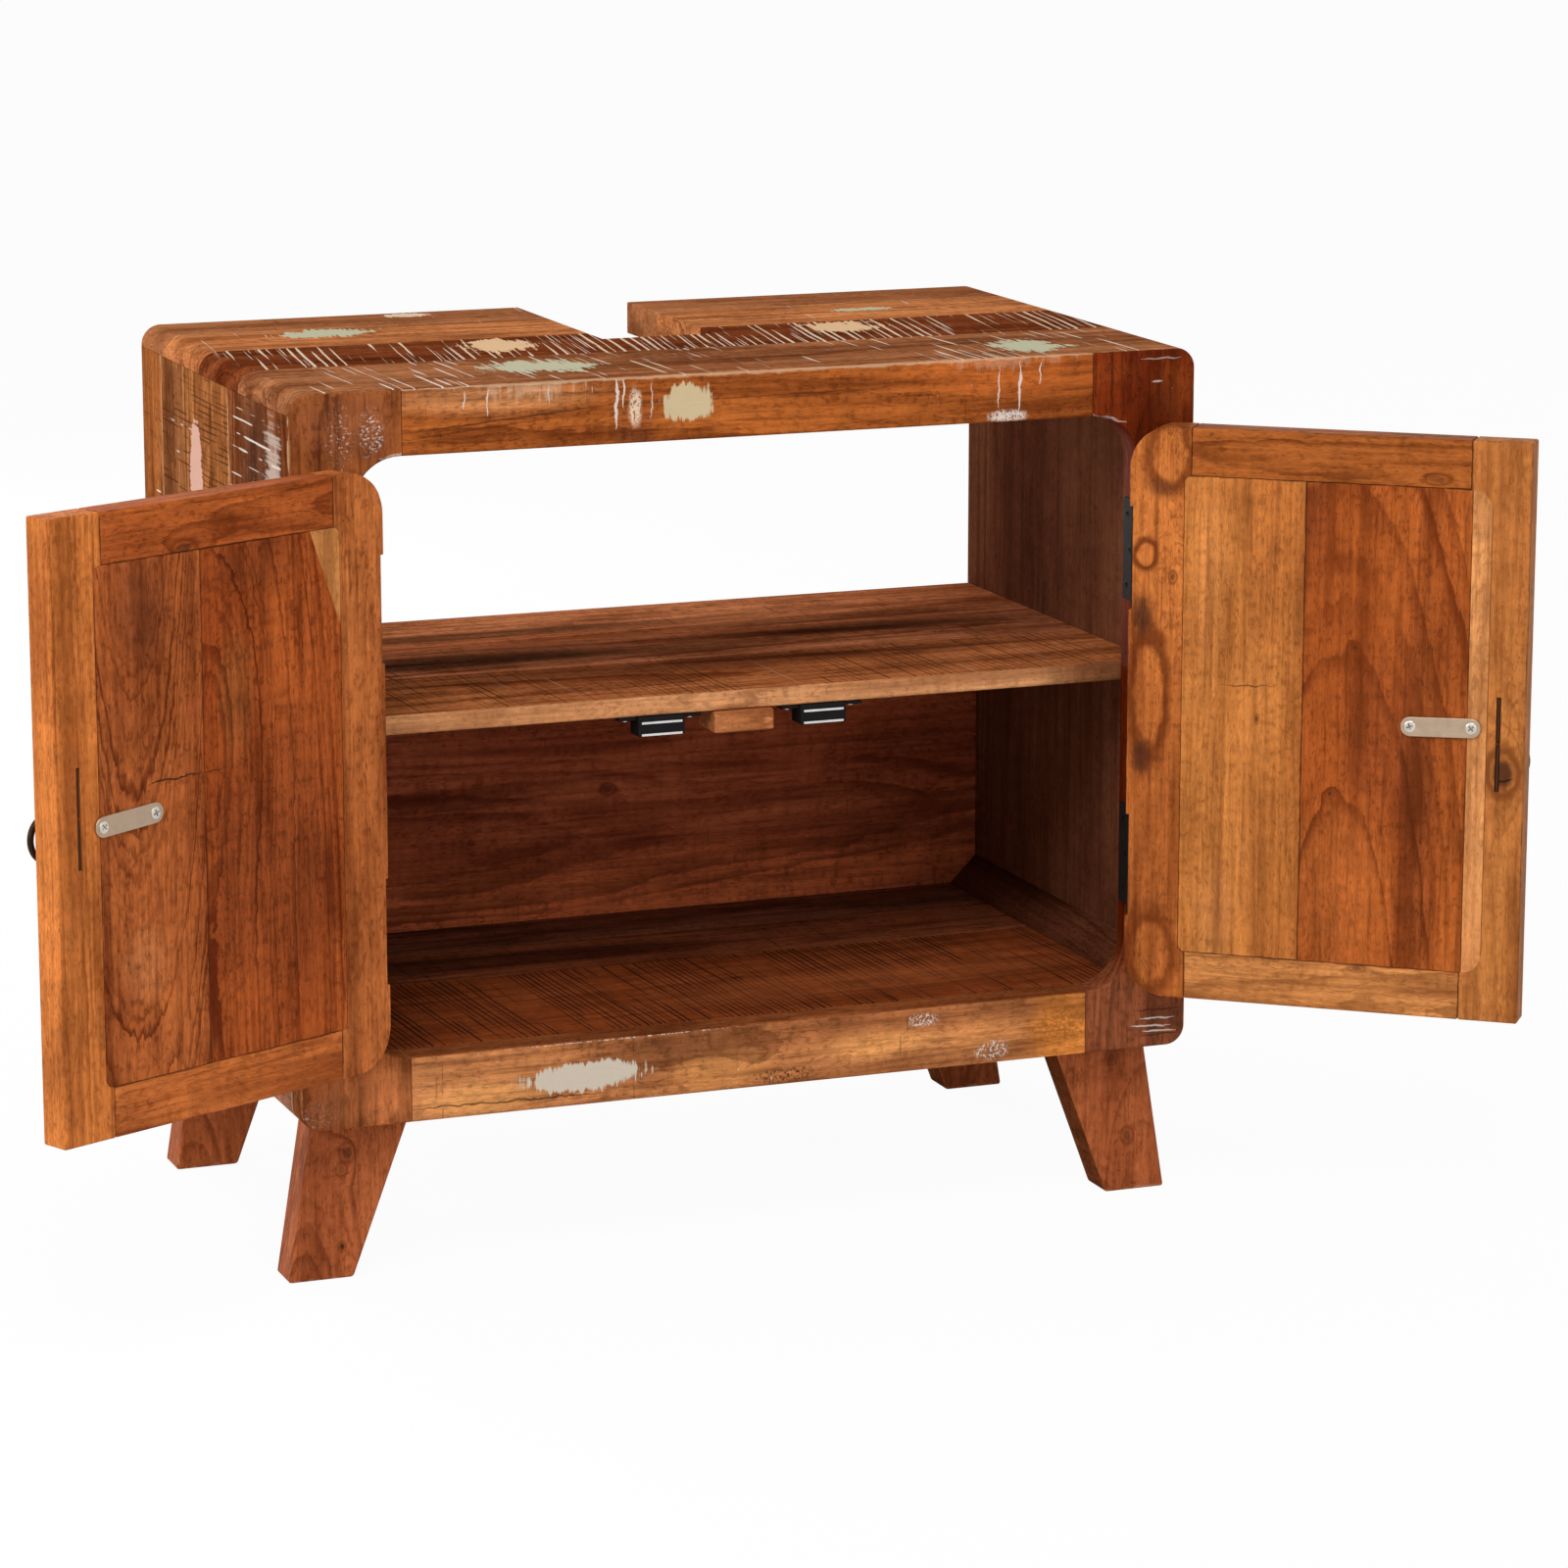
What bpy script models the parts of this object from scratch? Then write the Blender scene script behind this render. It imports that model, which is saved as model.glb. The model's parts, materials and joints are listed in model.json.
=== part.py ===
"""Under-sink bathroom cabinet in reclaimed wood: carcass, face frame, splayed legs and two inset doors.

Metres, +Z up. The front faces -Y and at rest both doors stand open. The origin is on the floor, under the
middle of the whole with its open doors. Sizes below are measured from the middle of the carcass, and one
empty moves everything to the origin.
"""
import math

import bmesh
import bpy
from mathutils import Matrix

# Carcass
CABINET_WIDTH = 0.600
CABINET_DEPTH = 0.350
BODY_HEIGHT = 0.459
TOP_THICKNESS = 0.021
TOP_END_THICKNESS = 0.0135
BASE_THICKNESS = 0.021
SIDE_THICKNESS = 0.016
BACK_REBATE_DEPTH = 0.023
BACK_REBATE_WIDTH = 0.008
BACK_PANEL_THICKNESS = 0.015
SHELF_THICKNESS = 0.0125
SHELF_ABOVE_FLOOR = 0.2115
SHELF_BEHIND_DOORS = 0.004
STRIP_LEG = 0.020
OUTER_CORNER_RADIUS = 0.013
PIPE_NOTCH_WIDTH = 0.078
PIPE_NOTCH_DEPTH = 0.175

# Face frame
FRAME_THICKNESS = 0.020
FRAME_STILE_WIDTH = 0.040
FRAME_TOP_RAIL_HEIGHT = 0.041
FRAME_BOTTOM_RAIL_HEIGHT = 0.042
OPENING_CORNER_RADIUS = 0.030
FILLET_SHOULDER = 0.001

# Legs
LEG_HEIGHT = 0.106
LEG_THICKNESS = 0.029
LEG_TOP_WIDTH = 0.065
LEG_FOOT_WIDTH = 0.0425
LEG_SPLAY = 0.017
LEG_TOP_INSET = 0.0155
LEG_FRONT_INSET = 0.031
LEG_BACK_INSET = 0.018

# Doors
DOOR_THICKNESS = 0.020
DOOR_GAP = 0.0025
DOOR_STILE_WIDTH = 0.040
DOOR_FREE_STILE_WIDTH = 0.038
DOOR_RAIL_HEIGHT = 0.031
NARROW_BOARD_WIDTH = 0.074
OPEN_ANGLE = {"left": math.radians(154.5), "right": math.radians(141.0)}
NARROW_BOARD_AT_HINGE = {"left": False, "right": True}

# Butt hinges
HINGE_LENGTH = 0.066
HINGE_SPREAD = 0.200
HINGE_PIN_OUT = 0.004
KNUCKLE_RADIUS = 0.0034
KNUCKLE_COUNT = 5
PIN_RADIUS = 0.0015
PIN_PLAY = 0.00008
LEAF_THICKNESS = 0.0018
LEAF_WIDTH = 0.019
LEAF_PLAY = 0.0004

# Magnetic catches and strike plates
CATCH_FROM_MIDDLE = 0.0545
CATCH_WIDTH = 0.031
CATCH_HEIGHT = 0.0128
CATCH_DEPTH = 0.016
CATCH_EAR_WIDTH = 0.012
CATCH_EAR_THICKNESS = 0.0025
CATCH_EAR_SETBACK = 0.003
POLE_WIDTH = 0.027
POLE_THICKNESS = 0.0014
POLE_DEPTH = 0.010
POLE_PROUD = 0.0008
POLE_SPACING = 0.0076
CATCH_AIR_GAP = 0.0006
STRIKE_LENGTH = 0.051
STRIKE_WIDTH = 0.0125
STRIKE_THICKNESS = 0.0015
STRIKE_SCREW_SPACING = 0.039
SCREW_HEAD_RADIUS = 0.0036
SCREW_SHANK_RADIUS = 0.0015
SCREW_LENGTH = 0.012
STOP_BLOCK_WIDTH = 0.040
STOP_BLOCK_DEPTH = 0.030
STOP_BLOCK_HEIGHT = 0.0135

# Ring pulls
EYE_FROM_FREE_EDGE = 0.017
LEFT_EYE_RAISE = 0.009
RIGHT_EYE_RAISE = -0.006
EYE_STANDOFF = 0.0075
EYE_RADIUS = 0.0043
EYE_WIRE_RADIUS = 0.0012
EYE_LEG_GAP = 0.0004
EYE_LEG_REACH = 0.030
EYE_BEND_RADIUS = 0.0025
RING_RADIUS = 0.0142
RING_WIRE_RADIUS = 0.0020

# Fits and finish
TOUCH = 0.0003
ARRIS = 0.0012
ARRIS_ANGLE = math.radians(40.0)
ARRIS_STEPS = 2
CORNER_STEPS = 7
ROUND_STEPS = 16
RING_STEPS = 30
BEND_STEPS = 5
WIRE_RESOLUTION = 2
CUT_OVERRUN = 0.004
MERGE_DISTANCE = 1e-6
STAND_UP = Matrix.Rotation(math.radians(90.0), 4, "X")

# Places worked out from the sizes above
SIDE_SIGN = {"left": -1.0, "right": 1.0}
HALF_WIDTH = CABINET_WIDTH / 2
FRONT_Y = -CABINET_DEPTH / 2
BACK_Y = CABINET_DEPTH / 2
BODY_BOTTOM_Z = LEG_HEIGHT
BODY_TOP_Z = LEG_HEIGHT + BODY_HEIGHT
BOARD_FRONT_Y = FRONT_Y + FRAME_THICKNESS + TOUCH
OPENING_BOTTOM_Z = BODY_BOTTOM_Z + FRAME_BOTTOM_RAIL_HEIGHT
OPENING_TOP_Z = BODY_TOP_Z - FRAME_TOP_RAIL_HEIGHT
OPENING_HALF_WIDTH = HALF_WIDTH - FRAME_STILE_WIDTH
STILE_END_WIDTH = FRAME_STILE_WIDTH + OPENING_CORNER_RADIUS + FILLET_SHOULDER
INNER_HALF_WIDTH = HALF_WIDTH - SIDE_THICKNESS - TOUCH
SHOULDER_Y = BACK_Y - BACK_REBATE_DEPTH
PANEL_FRONT_Y = SHOULDER_Y - BACK_PANEL_THICKNESS
SHELF_TOP_Z = OPENING_BOTTOM_Z + SHELF_ABOVE_FLOOR
SHELF_BOTTOM_Z = SHELF_TOP_Z - SHELF_THICKNESS
SHELF_FRONT_Y = FRONT_Y + DOOR_THICKNESS + SHELF_BEHIND_DOORS
POLE_FRONT_Y = FRONT_Y + DOOR_THICKNESS + TOUCH + STRIKE_THICKNESS + CATCH_AIR_GAP
CATCH_FRONT_Y = POLE_FRONT_Y + POLE_PROUD
CATCH_TOP_Z = SHELF_BOTTOM_Z - TOUCH
POLE_MIDDLE_Z = CATCH_TOP_Z - CATCH_EAR_THICKNESS - (CATCH_HEIGHT - CATCH_EAR_THICKNESS) / 2

# Doors, measured from the hinge axis of a closed door: "along" runs from the axis to the free edge, and
# "in" runs into the cabinet
AXIS_X = OPENING_HALF_WIDTH - DOOR_GAP / 2
AXIS_Y = FRONT_Y - HINGE_PIN_OUT
DOOR_START = DOOR_GAP / 2
DOOR_END = AXIS_X - DOOR_GAP / 2
DOOR_OUTER_IN = HINGE_PIN_OUT
DOOR_INNER_IN = HINGE_PIN_OUT + DOOR_THICKNESS
DOOR_BOTTOM_Z = OPENING_BOTTOM_Z + DOOR_GAP
DOOR_TOP_Z = OPENING_TOP_Z - DOOR_GAP
DOOR_MIDDLE_Z = (DOOR_BOTTOM_Z + DOOR_TOP_Z) / 2
FRAME_LEAF_ALONG = -DOOR_GAP / 2 + TOUCH
DOOR_LEAF_ALONG = FRAME_LEAF_ALONG + LEAF_THICKNESS + LEAF_PLAY
MORTISE_ALONG = DOOR_LEAF_ALONG + LEAF_THICKNESS + TOUCH
STRIKE_ALONG = AXIS_X - CATCH_FROM_MIDDLE
EYE_ALONG = DOOR_END - EYE_FROM_FREE_EDGE
EYE_LEG_OFFSET = EYE_WIRE_RADIUS + EYE_LEG_GAP / 2
EYE_Z = {"left": DOOR_MIDDLE_Z + LEFT_EYE_RAISE, "right": DOOR_MIDDLE_Z + RIGHT_EYE_RAISE}
RING_REACH = EYE_ALONG + RING_RADIUS + RING_WIRE_RADIUS
RING_IN = DOOR_OUTER_IN - EYE_STANDOFF
HINGE_Z = {"upper": DOOR_MIDDLE_Z + HINGE_SPREAD / 2, "lower": DOOR_MIDDLE_Z - HINGE_SPREAD / 2}

FINISHES = {
    "sawn_top": ((0.42, 0.18, 0.07), 0.55, 0.0),
    "carcass_wood": ((0.30, 0.12, 0.05), 0.60, 0.0),
    "frame_wood": ((0.45, 0.20, 0.08), 0.50, 0.0),
    "door_wood": ((0.50, 0.24, 0.09), 0.45, 0.0),
    "leg_wood": ((0.36, 0.14, 0.06), 0.50, 0.0),
    "black_steel": ((0.02, 0.02, 0.02), 0.45, 1.0),
    "nickel": ((0.62, 0.57, 0.50), 0.35, 1.0),
    "zinc": ((0.70, 0.69, 0.66), 0.30, 1.0),
    "black_plastic": ((0.02, 0.02, 0.02), 0.50, 0.0),
    "pole_steel": ((0.66, 0.66, 0.66), 0.30, 1.0),
}


def open_door_place(side, along, into):
    """Where a point of a door is with the door at rest, as X and Y from the middle of the carcass."""
    sign = SIDE_SIGN[side]
    turn = sign * OPEN_ANGLE[side]
    x = -sign * along
    place_x = sign * AXIS_X + x * math.cos(turn) - into * math.sin(turn)
    place_y = AXIS_Y + x * math.sin(turn) + into * math.cos(turn)
    return place_x, place_y


def middle_of_whole():
    """The middle, as X and Y, of the box round the carcass, the open doors and their rings."""
    ring_x = [open_door_place(side, RING_REACH, RING_IN)[0] for side in SIDE_SIGN]
    door_y = [open_door_place(side, DOOR_END, DOOR_INNER_IN)[1] for side in SIDE_SIGN]
    return sum(ring_x) / 2, (min(door_y) + BACK_Y) / 2


def clear_scene():
    for old in list(bpy.data.objects):
        bpy.data.objects.remove(old, do_unlink=True)


def make_collection(name):
    collection = bpy.data.collections.new(name)
    bpy.context.scene.collection.children.link(collection)
    return collection


def make_cabinet():
    """The empty at the middle of the carcass that carries everything."""
    cabinet = bpy.data.objects.new("carcass_middle", None)
    PIECES.objects.link(cabinet)
    middle_x, middle_y = middle_of_whole()
    cabinet.location = (-middle_x, -middle_y, 0.0)
    return cabinet


clear_scene()
PIECES = make_collection("bathroom_cabinet")
CUTTERS = make_collection("cutters")
CABINET = make_cabinet()


def finish_material(name, finish):
    colour, roughness, metallic = FINISHES[finish]
    material = bpy.data.materials.new(name + "_finish")
    material.use_nodes = True
    shader = material.node_tree.nodes["Principled BSDF"]
    shader.inputs["Base Color"].default_value = (*colour, 1.0)
    shader.inputs["Roughness"].default_value = roughness
    shader.inputs["Metallic"].default_value = metallic
    return material


def add_piece(name, mesh, finish, location=(0.0, 0.0, 0.0), parent=None):
    piece = bpy.data.objects.new(name, mesh)
    PIECES.objects.link(piece)
    mesh.materials.clear()
    mesh.materials.append(finish_material(name, finish))
    piece.location = location
    piece.parent = parent or CABINET
    return piece


def add_cutter(name, mesh, location=(0.0, 0.0, 0.0), parent=None):
    cutter = bpy.data.objects.new(name, mesh)
    CUTTERS.objects.link(cutter)
    cutter.location = location
    cutter.parent = parent or CABINET
    cutter.hide_render = True
    cutter.display_type = "WIRE"
    return cutter


def add_axis(name, location, turn):
    axis = bpy.data.objects.new(name, None)
    PIECES.objects.link(axis)
    axis.location = location
    axis.rotation_euler = (0.0, 0.0, turn)
    axis.parent = CABINET
    return axis


def box_mesh(name, size, rounded=None, radius=0.0):
    """A box about its own middle. rounded says, by an edge's middle, which edges along Y get the radius."""
    bm = bmesh.new()
    bmesh.ops.create_cube(bm, size=1.0)
    bmesh.ops.scale(bm, vec=size, verts=bm.verts)
    if rounded:
        edges = [e for e in bm.edges if is_along_y(e) and rounded((e.verts[0].co + e.verts[1].co) / 2)]
        bmesh.ops.bevel(
            bm, geom=edges, offset=radius, segments=CORNER_STEPS, profile=0.5, affect="EDGES", material=-1
        )
    return finished_mesh(bm, name)


def is_along_y(edge):
    start, end = edge.verts
    return abs(end.co.x - start.co.x) + abs(end.co.z - start.co.z) < MERGE_DISTANCE


def cylinder_mesh(name, radius, length):
    """A cylinder about its own middle, along Z."""
    bm = bmesh.new()
    bmesh.ops.create_cone(
        bm, cap_ends=True, segments=ROUND_STEPS, radius1=radius, radius2=radius, depth=length
    )
    return finished_mesh(bm, name)


def finished_mesh(bm, name):
    mesh = bpy.data.meshes.new(name)
    bm.to_mesh(mesh)
    bm.free()
    return mesh


def curve_mesh(name, curve):
    """The mesh of a curve object, with its caps welded, and the curve removed."""
    guide = bpy.data.objects.new(name + "_guide", curve)
    CUTTERS.objects.link(guide)
    evaluated = guide.evaluated_get(bpy.context.evaluated_depsgraph_get())
    mesh = bpy.data.meshes.new_from_object(evaluated)
    mesh.name = name
    bpy.data.objects.remove(guide, do_unlink=True)
    bm = bmesh.new()
    bm.from_mesh(mesh)
    bmesh.ops.remove_doubles(bm, verts=bm.verts, dist=MERGE_DISTANCE)
    bmesh.ops.recalc_face_normals(bm, faces=bm.faces)
    bm.to_mesh(mesh)
    bm.free()
    return mesh


def outline_mesh(name, points, thickness):
    """A flat outline in XY, half its thickness to each side of Z = 0."""
    curve = bpy.data.curves.new(name + "_outline", "CURVE")
    curve.dimensions = "2D"
    curve.fill_mode = "BOTH"
    curve.extrude = thickness / 2
    spline = curve.splines.new("POLY")
    spline.points.add(len(points) - 1)
    for point, (x, y) in zip(spline.points, points):
        point.co = (x, y, 0.0, 1.0)
    spline.use_cyclic_u = True
    return curve_mesh(name, curve)


def wire_mesh(name, points, radius, closed):
    curve = bpy.data.curves.new(name + "_path", "CURVE")
    curve.dimensions = "3D"
    curve.bevel_depth = radius
    curve.bevel_resolution = WIRE_RESOLUTION
    curve.use_fill_caps = not closed
    spline = curve.splines.new("POLY")
    spline.points.add(len(points) - 1)
    for point, place in zip(spline.points, points):
        point.co = (*place, 1.0)
    spline.use_cyclic_u = closed
    mesh = curve_mesh(name, curve)
    mesh.shade_smooth()
    return mesh


def arc(middle, radius, start, end, steps):
    """Points round a circle, both ends included."""
    turns = [start + (end - start) * step / steps for step in range(steps + 1)]
    return [(middle[0] + radius * math.cos(t), middle[1] + radius * math.sin(t)) for t in turns]


def cut(piece, cutter):
    boolean = piece.modifiers.new("cut_" + cutter.name, "BOOLEAN")
    boolean.operation = "DIFFERENCE"
    boolean.solver = "EXACT"
    boolean.object = cutter


def ease_edges(piece):
    """Takes the sharp arris off every edge of a wooden piece."""
    bevel = piece.modifiers.new("arris", "BEVEL")
    bevel.width = ARRIS
    bevel.segments = ARRIS_STEPS
    bevel.limit_method = "ANGLE"
    bevel.angle_limit = ARRIS_ANGLE


def span(low, high):
    """Size and middle of a box between two corners."""
    size = [abs(b - a) for a, b in zip(low, high)]
    middle = [(a + b) / 2 for a, b in zip(low, high)]
    return size, middle


def block(name, low, high, finish, parent=None, rounded=None, radius=0.0):
    """A piece between two corners, with some of its edges along Y rounded."""
    size, middle = span(low, high)
    mesh = box_mesh(name, size, rounded, radius)
    return add_piece(name, mesh, finish, middle, parent)


def plank(name, low, high, finish, parent=None, rounded=None, radius=0.0):
    """A wooden board between two corners, its edges eased before anything is cut into it."""
    board = block(name, low, high, finish, parent, rounded, radius)
    ease_edges(board)
    return board


def box_cutter(name, low, high, parent=None, rounded=None, radius=0.0):
    size, middle = span(low, high)
    mesh = box_mesh(name, size, rounded, radius)
    return add_cutter(name, mesh, middle, parent)


def build_top_and_base():
    top = plank(
        "top_board",
        (-HALF_WIDTH, BOARD_FRONT_Y, BODY_TOP_Z - TOP_THICKNESS),
        (HALF_WIDTH, BACK_Y, BODY_TOP_Z),
        "sawn_top",
        rounded=lambda middle: middle.z > 0.0,
        radius=OUTER_CORNER_RADIUS,
    )
    notch = box_cutter(
        "pipe_notch",
        (-PIPE_NOTCH_WIDTH / 2, BACK_Y - PIPE_NOTCH_DEPTH, BODY_TOP_Z - TOP_THICKNESS - CUT_OVERRUN),
        (PIPE_NOTCH_WIDTH / 2, BACK_Y + CUT_OVERRUN, BODY_TOP_Z + CUT_OVERRUN),
    )
    cut(top, notch)
    for side, sign in SIDE_SIGN.items():
        rebate = box_cutter(
            side + "_top_rebate",
            (
                sign * INNER_HALF_WIDTH,
                BOARD_FRONT_Y - CUT_OVERRUN,
                BODY_TOP_Z - TOP_THICKNESS - CUT_OVERRUN,
            ),
            (sign * (HALF_WIDTH + CUT_OVERRUN), BACK_Y + CUT_OVERRUN, BODY_TOP_Z - TOP_END_THICKNESS),
        )
        cut(top, rebate)
    plank(
        "base_board",
        (-HALF_WIDTH, BOARD_FRONT_Y, BODY_BOTTOM_Z),
        (HALF_WIDTH, BACK_Y, BODY_BOTTOM_Z + BASE_THICKNESS),
        "carcass_wood",
        rounded=lambda middle: middle.z < 0.0,
        radius=OUTER_CORNER_RADIUS,
    )
    plank(
        "floor_board",
        (-INNER_HALF_WIDTH, BOARD_FRONT_Y, BODY_BOTTOM_Z + BASE_THICKNESS + TOUCH),
        (INNER_HALF_WIDTH, SHOULDER_Y, OPENING_BOTTOM_Z),
        "carcass_wood",
    )


def build_side_boards():
    low_z = BODY_BOTTOM_Z + BASE_THICKNESS + TOUCH
    high_z = BODY_TOP_Z - TOP_END_THICKNESS - TOUCH
    for side, sign in SIDE_SIGN.items():
        board = plank(
            side + "_side_board",
            (sign * (HALF_WIDTH - SIDE_THICKNESS), BOARD_FRONT_Y, low_z),
            (sign * HALF_WIDTH, BACK_Y, high_z),
            "frame_wood",
        )
        rebate = box_cutter(
            side + "_back_rebate",
            (sign * (HALF_WIDTH - SIDE_THICKNESS - CUT_OVERRUN), SHOULDER_Y, low_z - CUT_OVERRUN),
            (
                sign * (HALF_WIDTH - SIDE_THICKNESS + BACK_REBATE_WIDTH),
                BACK_Y + CUT_OVERRUN,
                BODY_TOP_Z - TOP_THICKNESS,
            ),
        )
        cut(board, rebate)


def build_inside():
    plank(
        "shelf",
        (-INNER_HALF_WIDTH, SHELF_FRONT_Y, SHELF_BOTTOM_Z),
        (INNER_HALF_WIDTH, SHOULDER_Y, SHELF_TOP_Z),
        "carcass_wood",
    )
    plank(
        "back_panel",
        (-INNER_HALF_WIDTH, PANEL_FRONT_Y, OPENING_BOTTOM_Z + TOUCH),
        (INNER_HALF_WIDTH, SHOULDER_Y, SHELF_BOTTOM_Z - TOUCH),
        "carcass_wood",
    )
    stop_front_y = FRONT_Y + DOOR_THICKNESS + TOUCH
    plank(
        "door_stop_block",
        (-STOP_BLOCK_WIDTH / 2, stop_front_y, SHELF_BOTTOM_Z - TOUCH - STOP_BLOCK_HEIGHT),
        (STOP_BLOCK_WIDTH / 2, stop_front_y + STOP_BLOCK_DEPTH, SHELF_BOTTOM_Z - TOUCH),
        "carcass_wood",
    )
    strip_length = PANEL_FRONT_Y - BOARD_FRONT_Y - 2 * TOUCH
    for side, sign in SIDE_SIGN.items():
        corner = [(0.0, 0.0), (-sign * STRIP_LEG, 0.0), (0.0, STRIP_LEG)]
        mesh = outline_mesh(side + "_corner_strip", corner, strip_length)
        mesh.transform(STAND_UP)
        place = (
            sign * INNER_HALF_WIDTH,
            (BOARD_FRONT_Y + PANEL_FRONT_Y) / 2,
            OPENING_BOTTOM_Z + TOUCH,
        )
        add_piece(side + "_corner_strip", mesh, "carcass_wood", place)


def build_face_frame():
    opening = box_cutter(
        "door_opening",
        (-OPENING_HALF_WIDTH, FRONT_Y - CUT_OVERRUN, OPENING_BOTTOM_Z),
        (OPENING_HALF_WIDTH, FRONT_Y + FRAME_THICKNESS + CUT_OVERRUN, OPENING_TOP_Z),
        rounded=lambda middle: True,
        radius=OPENING_CORNER_RADIUS,
    )
    for side, sign in SIDE_SIGN.items():
        stile = block(
            side + "_frame_stile",
            (sign * (HALF_WIDTH - STILE_END_WIDTH), FRONT_Y, BODY_BOTTOM_Z),
            (sign * HALF_WIDTH, FRONT_Y + FRAME_THICKNESS, BODY_TOP_Z),
            "frame_wood",
            rounded=lambda middle, outer=sign: middle.x * outer > 0.0,
            radius=OUTER_CORNER_RADIUS,
        )
        cut(stile, opening)
        ease_edges(stile)
    rail_half = HALF_WIDTH - STILE_END_WIDTH - TOUCH
    rails = {
        "top_frame_rail": (OPENING_TOP_Z, BODY_TOP_Z),
        "bottom_frame_rail": (BODY_BOTTOM_Z, OPENING_BOTTOM_Z),
    }
    for name, (low_z, high_z) in rails.items():
        plank(
            name,
            (-rail_half, FRONT_Y, low_z),
            (rail_half, FRONT_Y + FRAME_THICKNESS, high_z),
            "frame_wood",
        )


def build_legs():
    top_outer = HALF_WIDTH - LEG_TOP_INSET
    foot_outer = top_outer + LEG_SPLAY
    rows = {
        "front": FRONT_Y + LEG_FRONT_INSET + LEG_THICKNESS / 2,
        "back": BACK_Y - LEG_BACK_INSET - LEG_THICKNESS / 2,
    }
    for row, middle_y in rows.items():
        for side, sign in SIDE_SIGN.items():
            outline = [
                (sign * foot_outer, 0.0),
                (sign * top_outer, LEG_HEIGHT - TOUCH),
                (sign * (top_outer - LEG_TOP_WIDTH), LEG_HEIGHT - TOUCH),
                (sign * (foot_outer - LEG_FOOT_WIDTH), 0.0),
            ]
            name = f"{row}_{side}_leg"
            mesh = outline_mesh(name, outline, LEG_THICKNESS)
            mesh.transform(STAND_UP)
            leg = add_piece(name, mesh, "leg_wood", (0.0, middle_y, 0.0))
            ease_edges(leg)


def build_catch(side, sign):
    """A magnetic catch under the shelf: plastic body with two ears, and two steel pole strips in it."""
    middle_x = sign * CATCH_FROM_MIDDLE
    half = CATCH_WIDTH / 2
    body = block(
        side + "_catch_body",
        (middle_x - half - CATCH_EAR_WIDTH, CATCH_FRONT_Y, CATCH_TOP_Z - CATCH_HEIGHT),
        (middle_x + half + CATCH_EAR_WIDTH, CATCH_FRONT_Y + CATCH_DEPTH, CATCH_TOP_Z),
        "black_plastic",
    )
    for end in (-1.0, 1.0):
        under_ear = box_cutter(
            f"{side}_catch_under_ear_{'left' if end < 0 else 'right'}",
            (middle_x + end * half, CATCH_FRONT_Y - CUT_OVERRUN, CATCH_TOP_Z - CATCH_HEIGHT - CUT_OVERRUN),
            (
                middle_x + end * (half + CATCH_EAR_WIDTH + CUT_OVERRUN),
                CATCH_FRONT_Y + CATCH_DEPTH + CUT_OVERRUN,
                CATCH_TOP_Z - CATCH_EAR_THICKNESS,
            ),
        )
        cut(body, under_ear)
        before_ear = box_cutter(
            f"{side}_catch_before_ear_{'left' if end < 0 else 'right'}",
            (middle_x + end * half, CATCH_FRONT_Y - CUT_OVERRUN, CATCH_TOP_Z - CATCH_HEIGHT),
            (
                middle_x + end * (half + CATCH_EAR_WIDTH + CUT_OVERRUN),
                CATCH_FRONT_Y + CATCH_EAR_SETBACK,
                CATCH_TOP_Z + CUT_OVERRUN,
            ),
        )
        cut(body, before_ear)
    for level, rise in (("upper", POLE_SPACING / 2), ("lower", -POLE_SPACING / 2)):
        middle_z = POLE_MIDDLE_Z + rise
        name = f"{side}_catch_{level}_pole"
        block(
            name,
            (middle_x - POLE_WIDTH / 2, POLE_FRONT_Y, middle_z - POLE_THICKNESS / 2),
            (middle_x + POLE_WIDTH / 2, POLE_FRONT_Y + POLE_DEPTH, middle_z + POLE_THICKNESS / 2),
            "pole_steel",
        )
        slot = box_cutter(
            name + "_slot",
            (
                middle_x - POLE_WIDTH / 2 - TOUCH,
                CATCH_FRONT_Y - CUT_OVERRUN,
                middle_z - POLE_THICKNESS / 2 - TOUCH,
            ),
            (
                middle_x + POLE_WIDTH / 2 + TOUCH,
                POLE_FRONT_Y + POLE_DEPTH + TOUCH,
                middle_z + POLE_THICKNESS / 2 + TOUCH,
            ),
        )
        cut(body, slot)


def leaf_outline(plate_along, sign):
    """A hinge leaf from above, about the pin: the knuckle's circle and the plate that runs inwards."""
    near = plate_along
    far = plate_along + LEAF_THICKNESS
    start = math.pi / 2 - math.asin(near / KNUCKLE_RADIUS)
    end = math.pi / 2 - math.asin(far / KNUCKLE_RADIUS) + 2 * math.pi
    outline = arc((0.0, 0.0), KNUCKLE_RADIUS, start, end, ROUND_STEPS)
    outline += [(far, LEAF_WIDTH), (near, LEAF_WIDTH)]
    return [(-sign * along, into) for along, into in outline]


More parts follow.
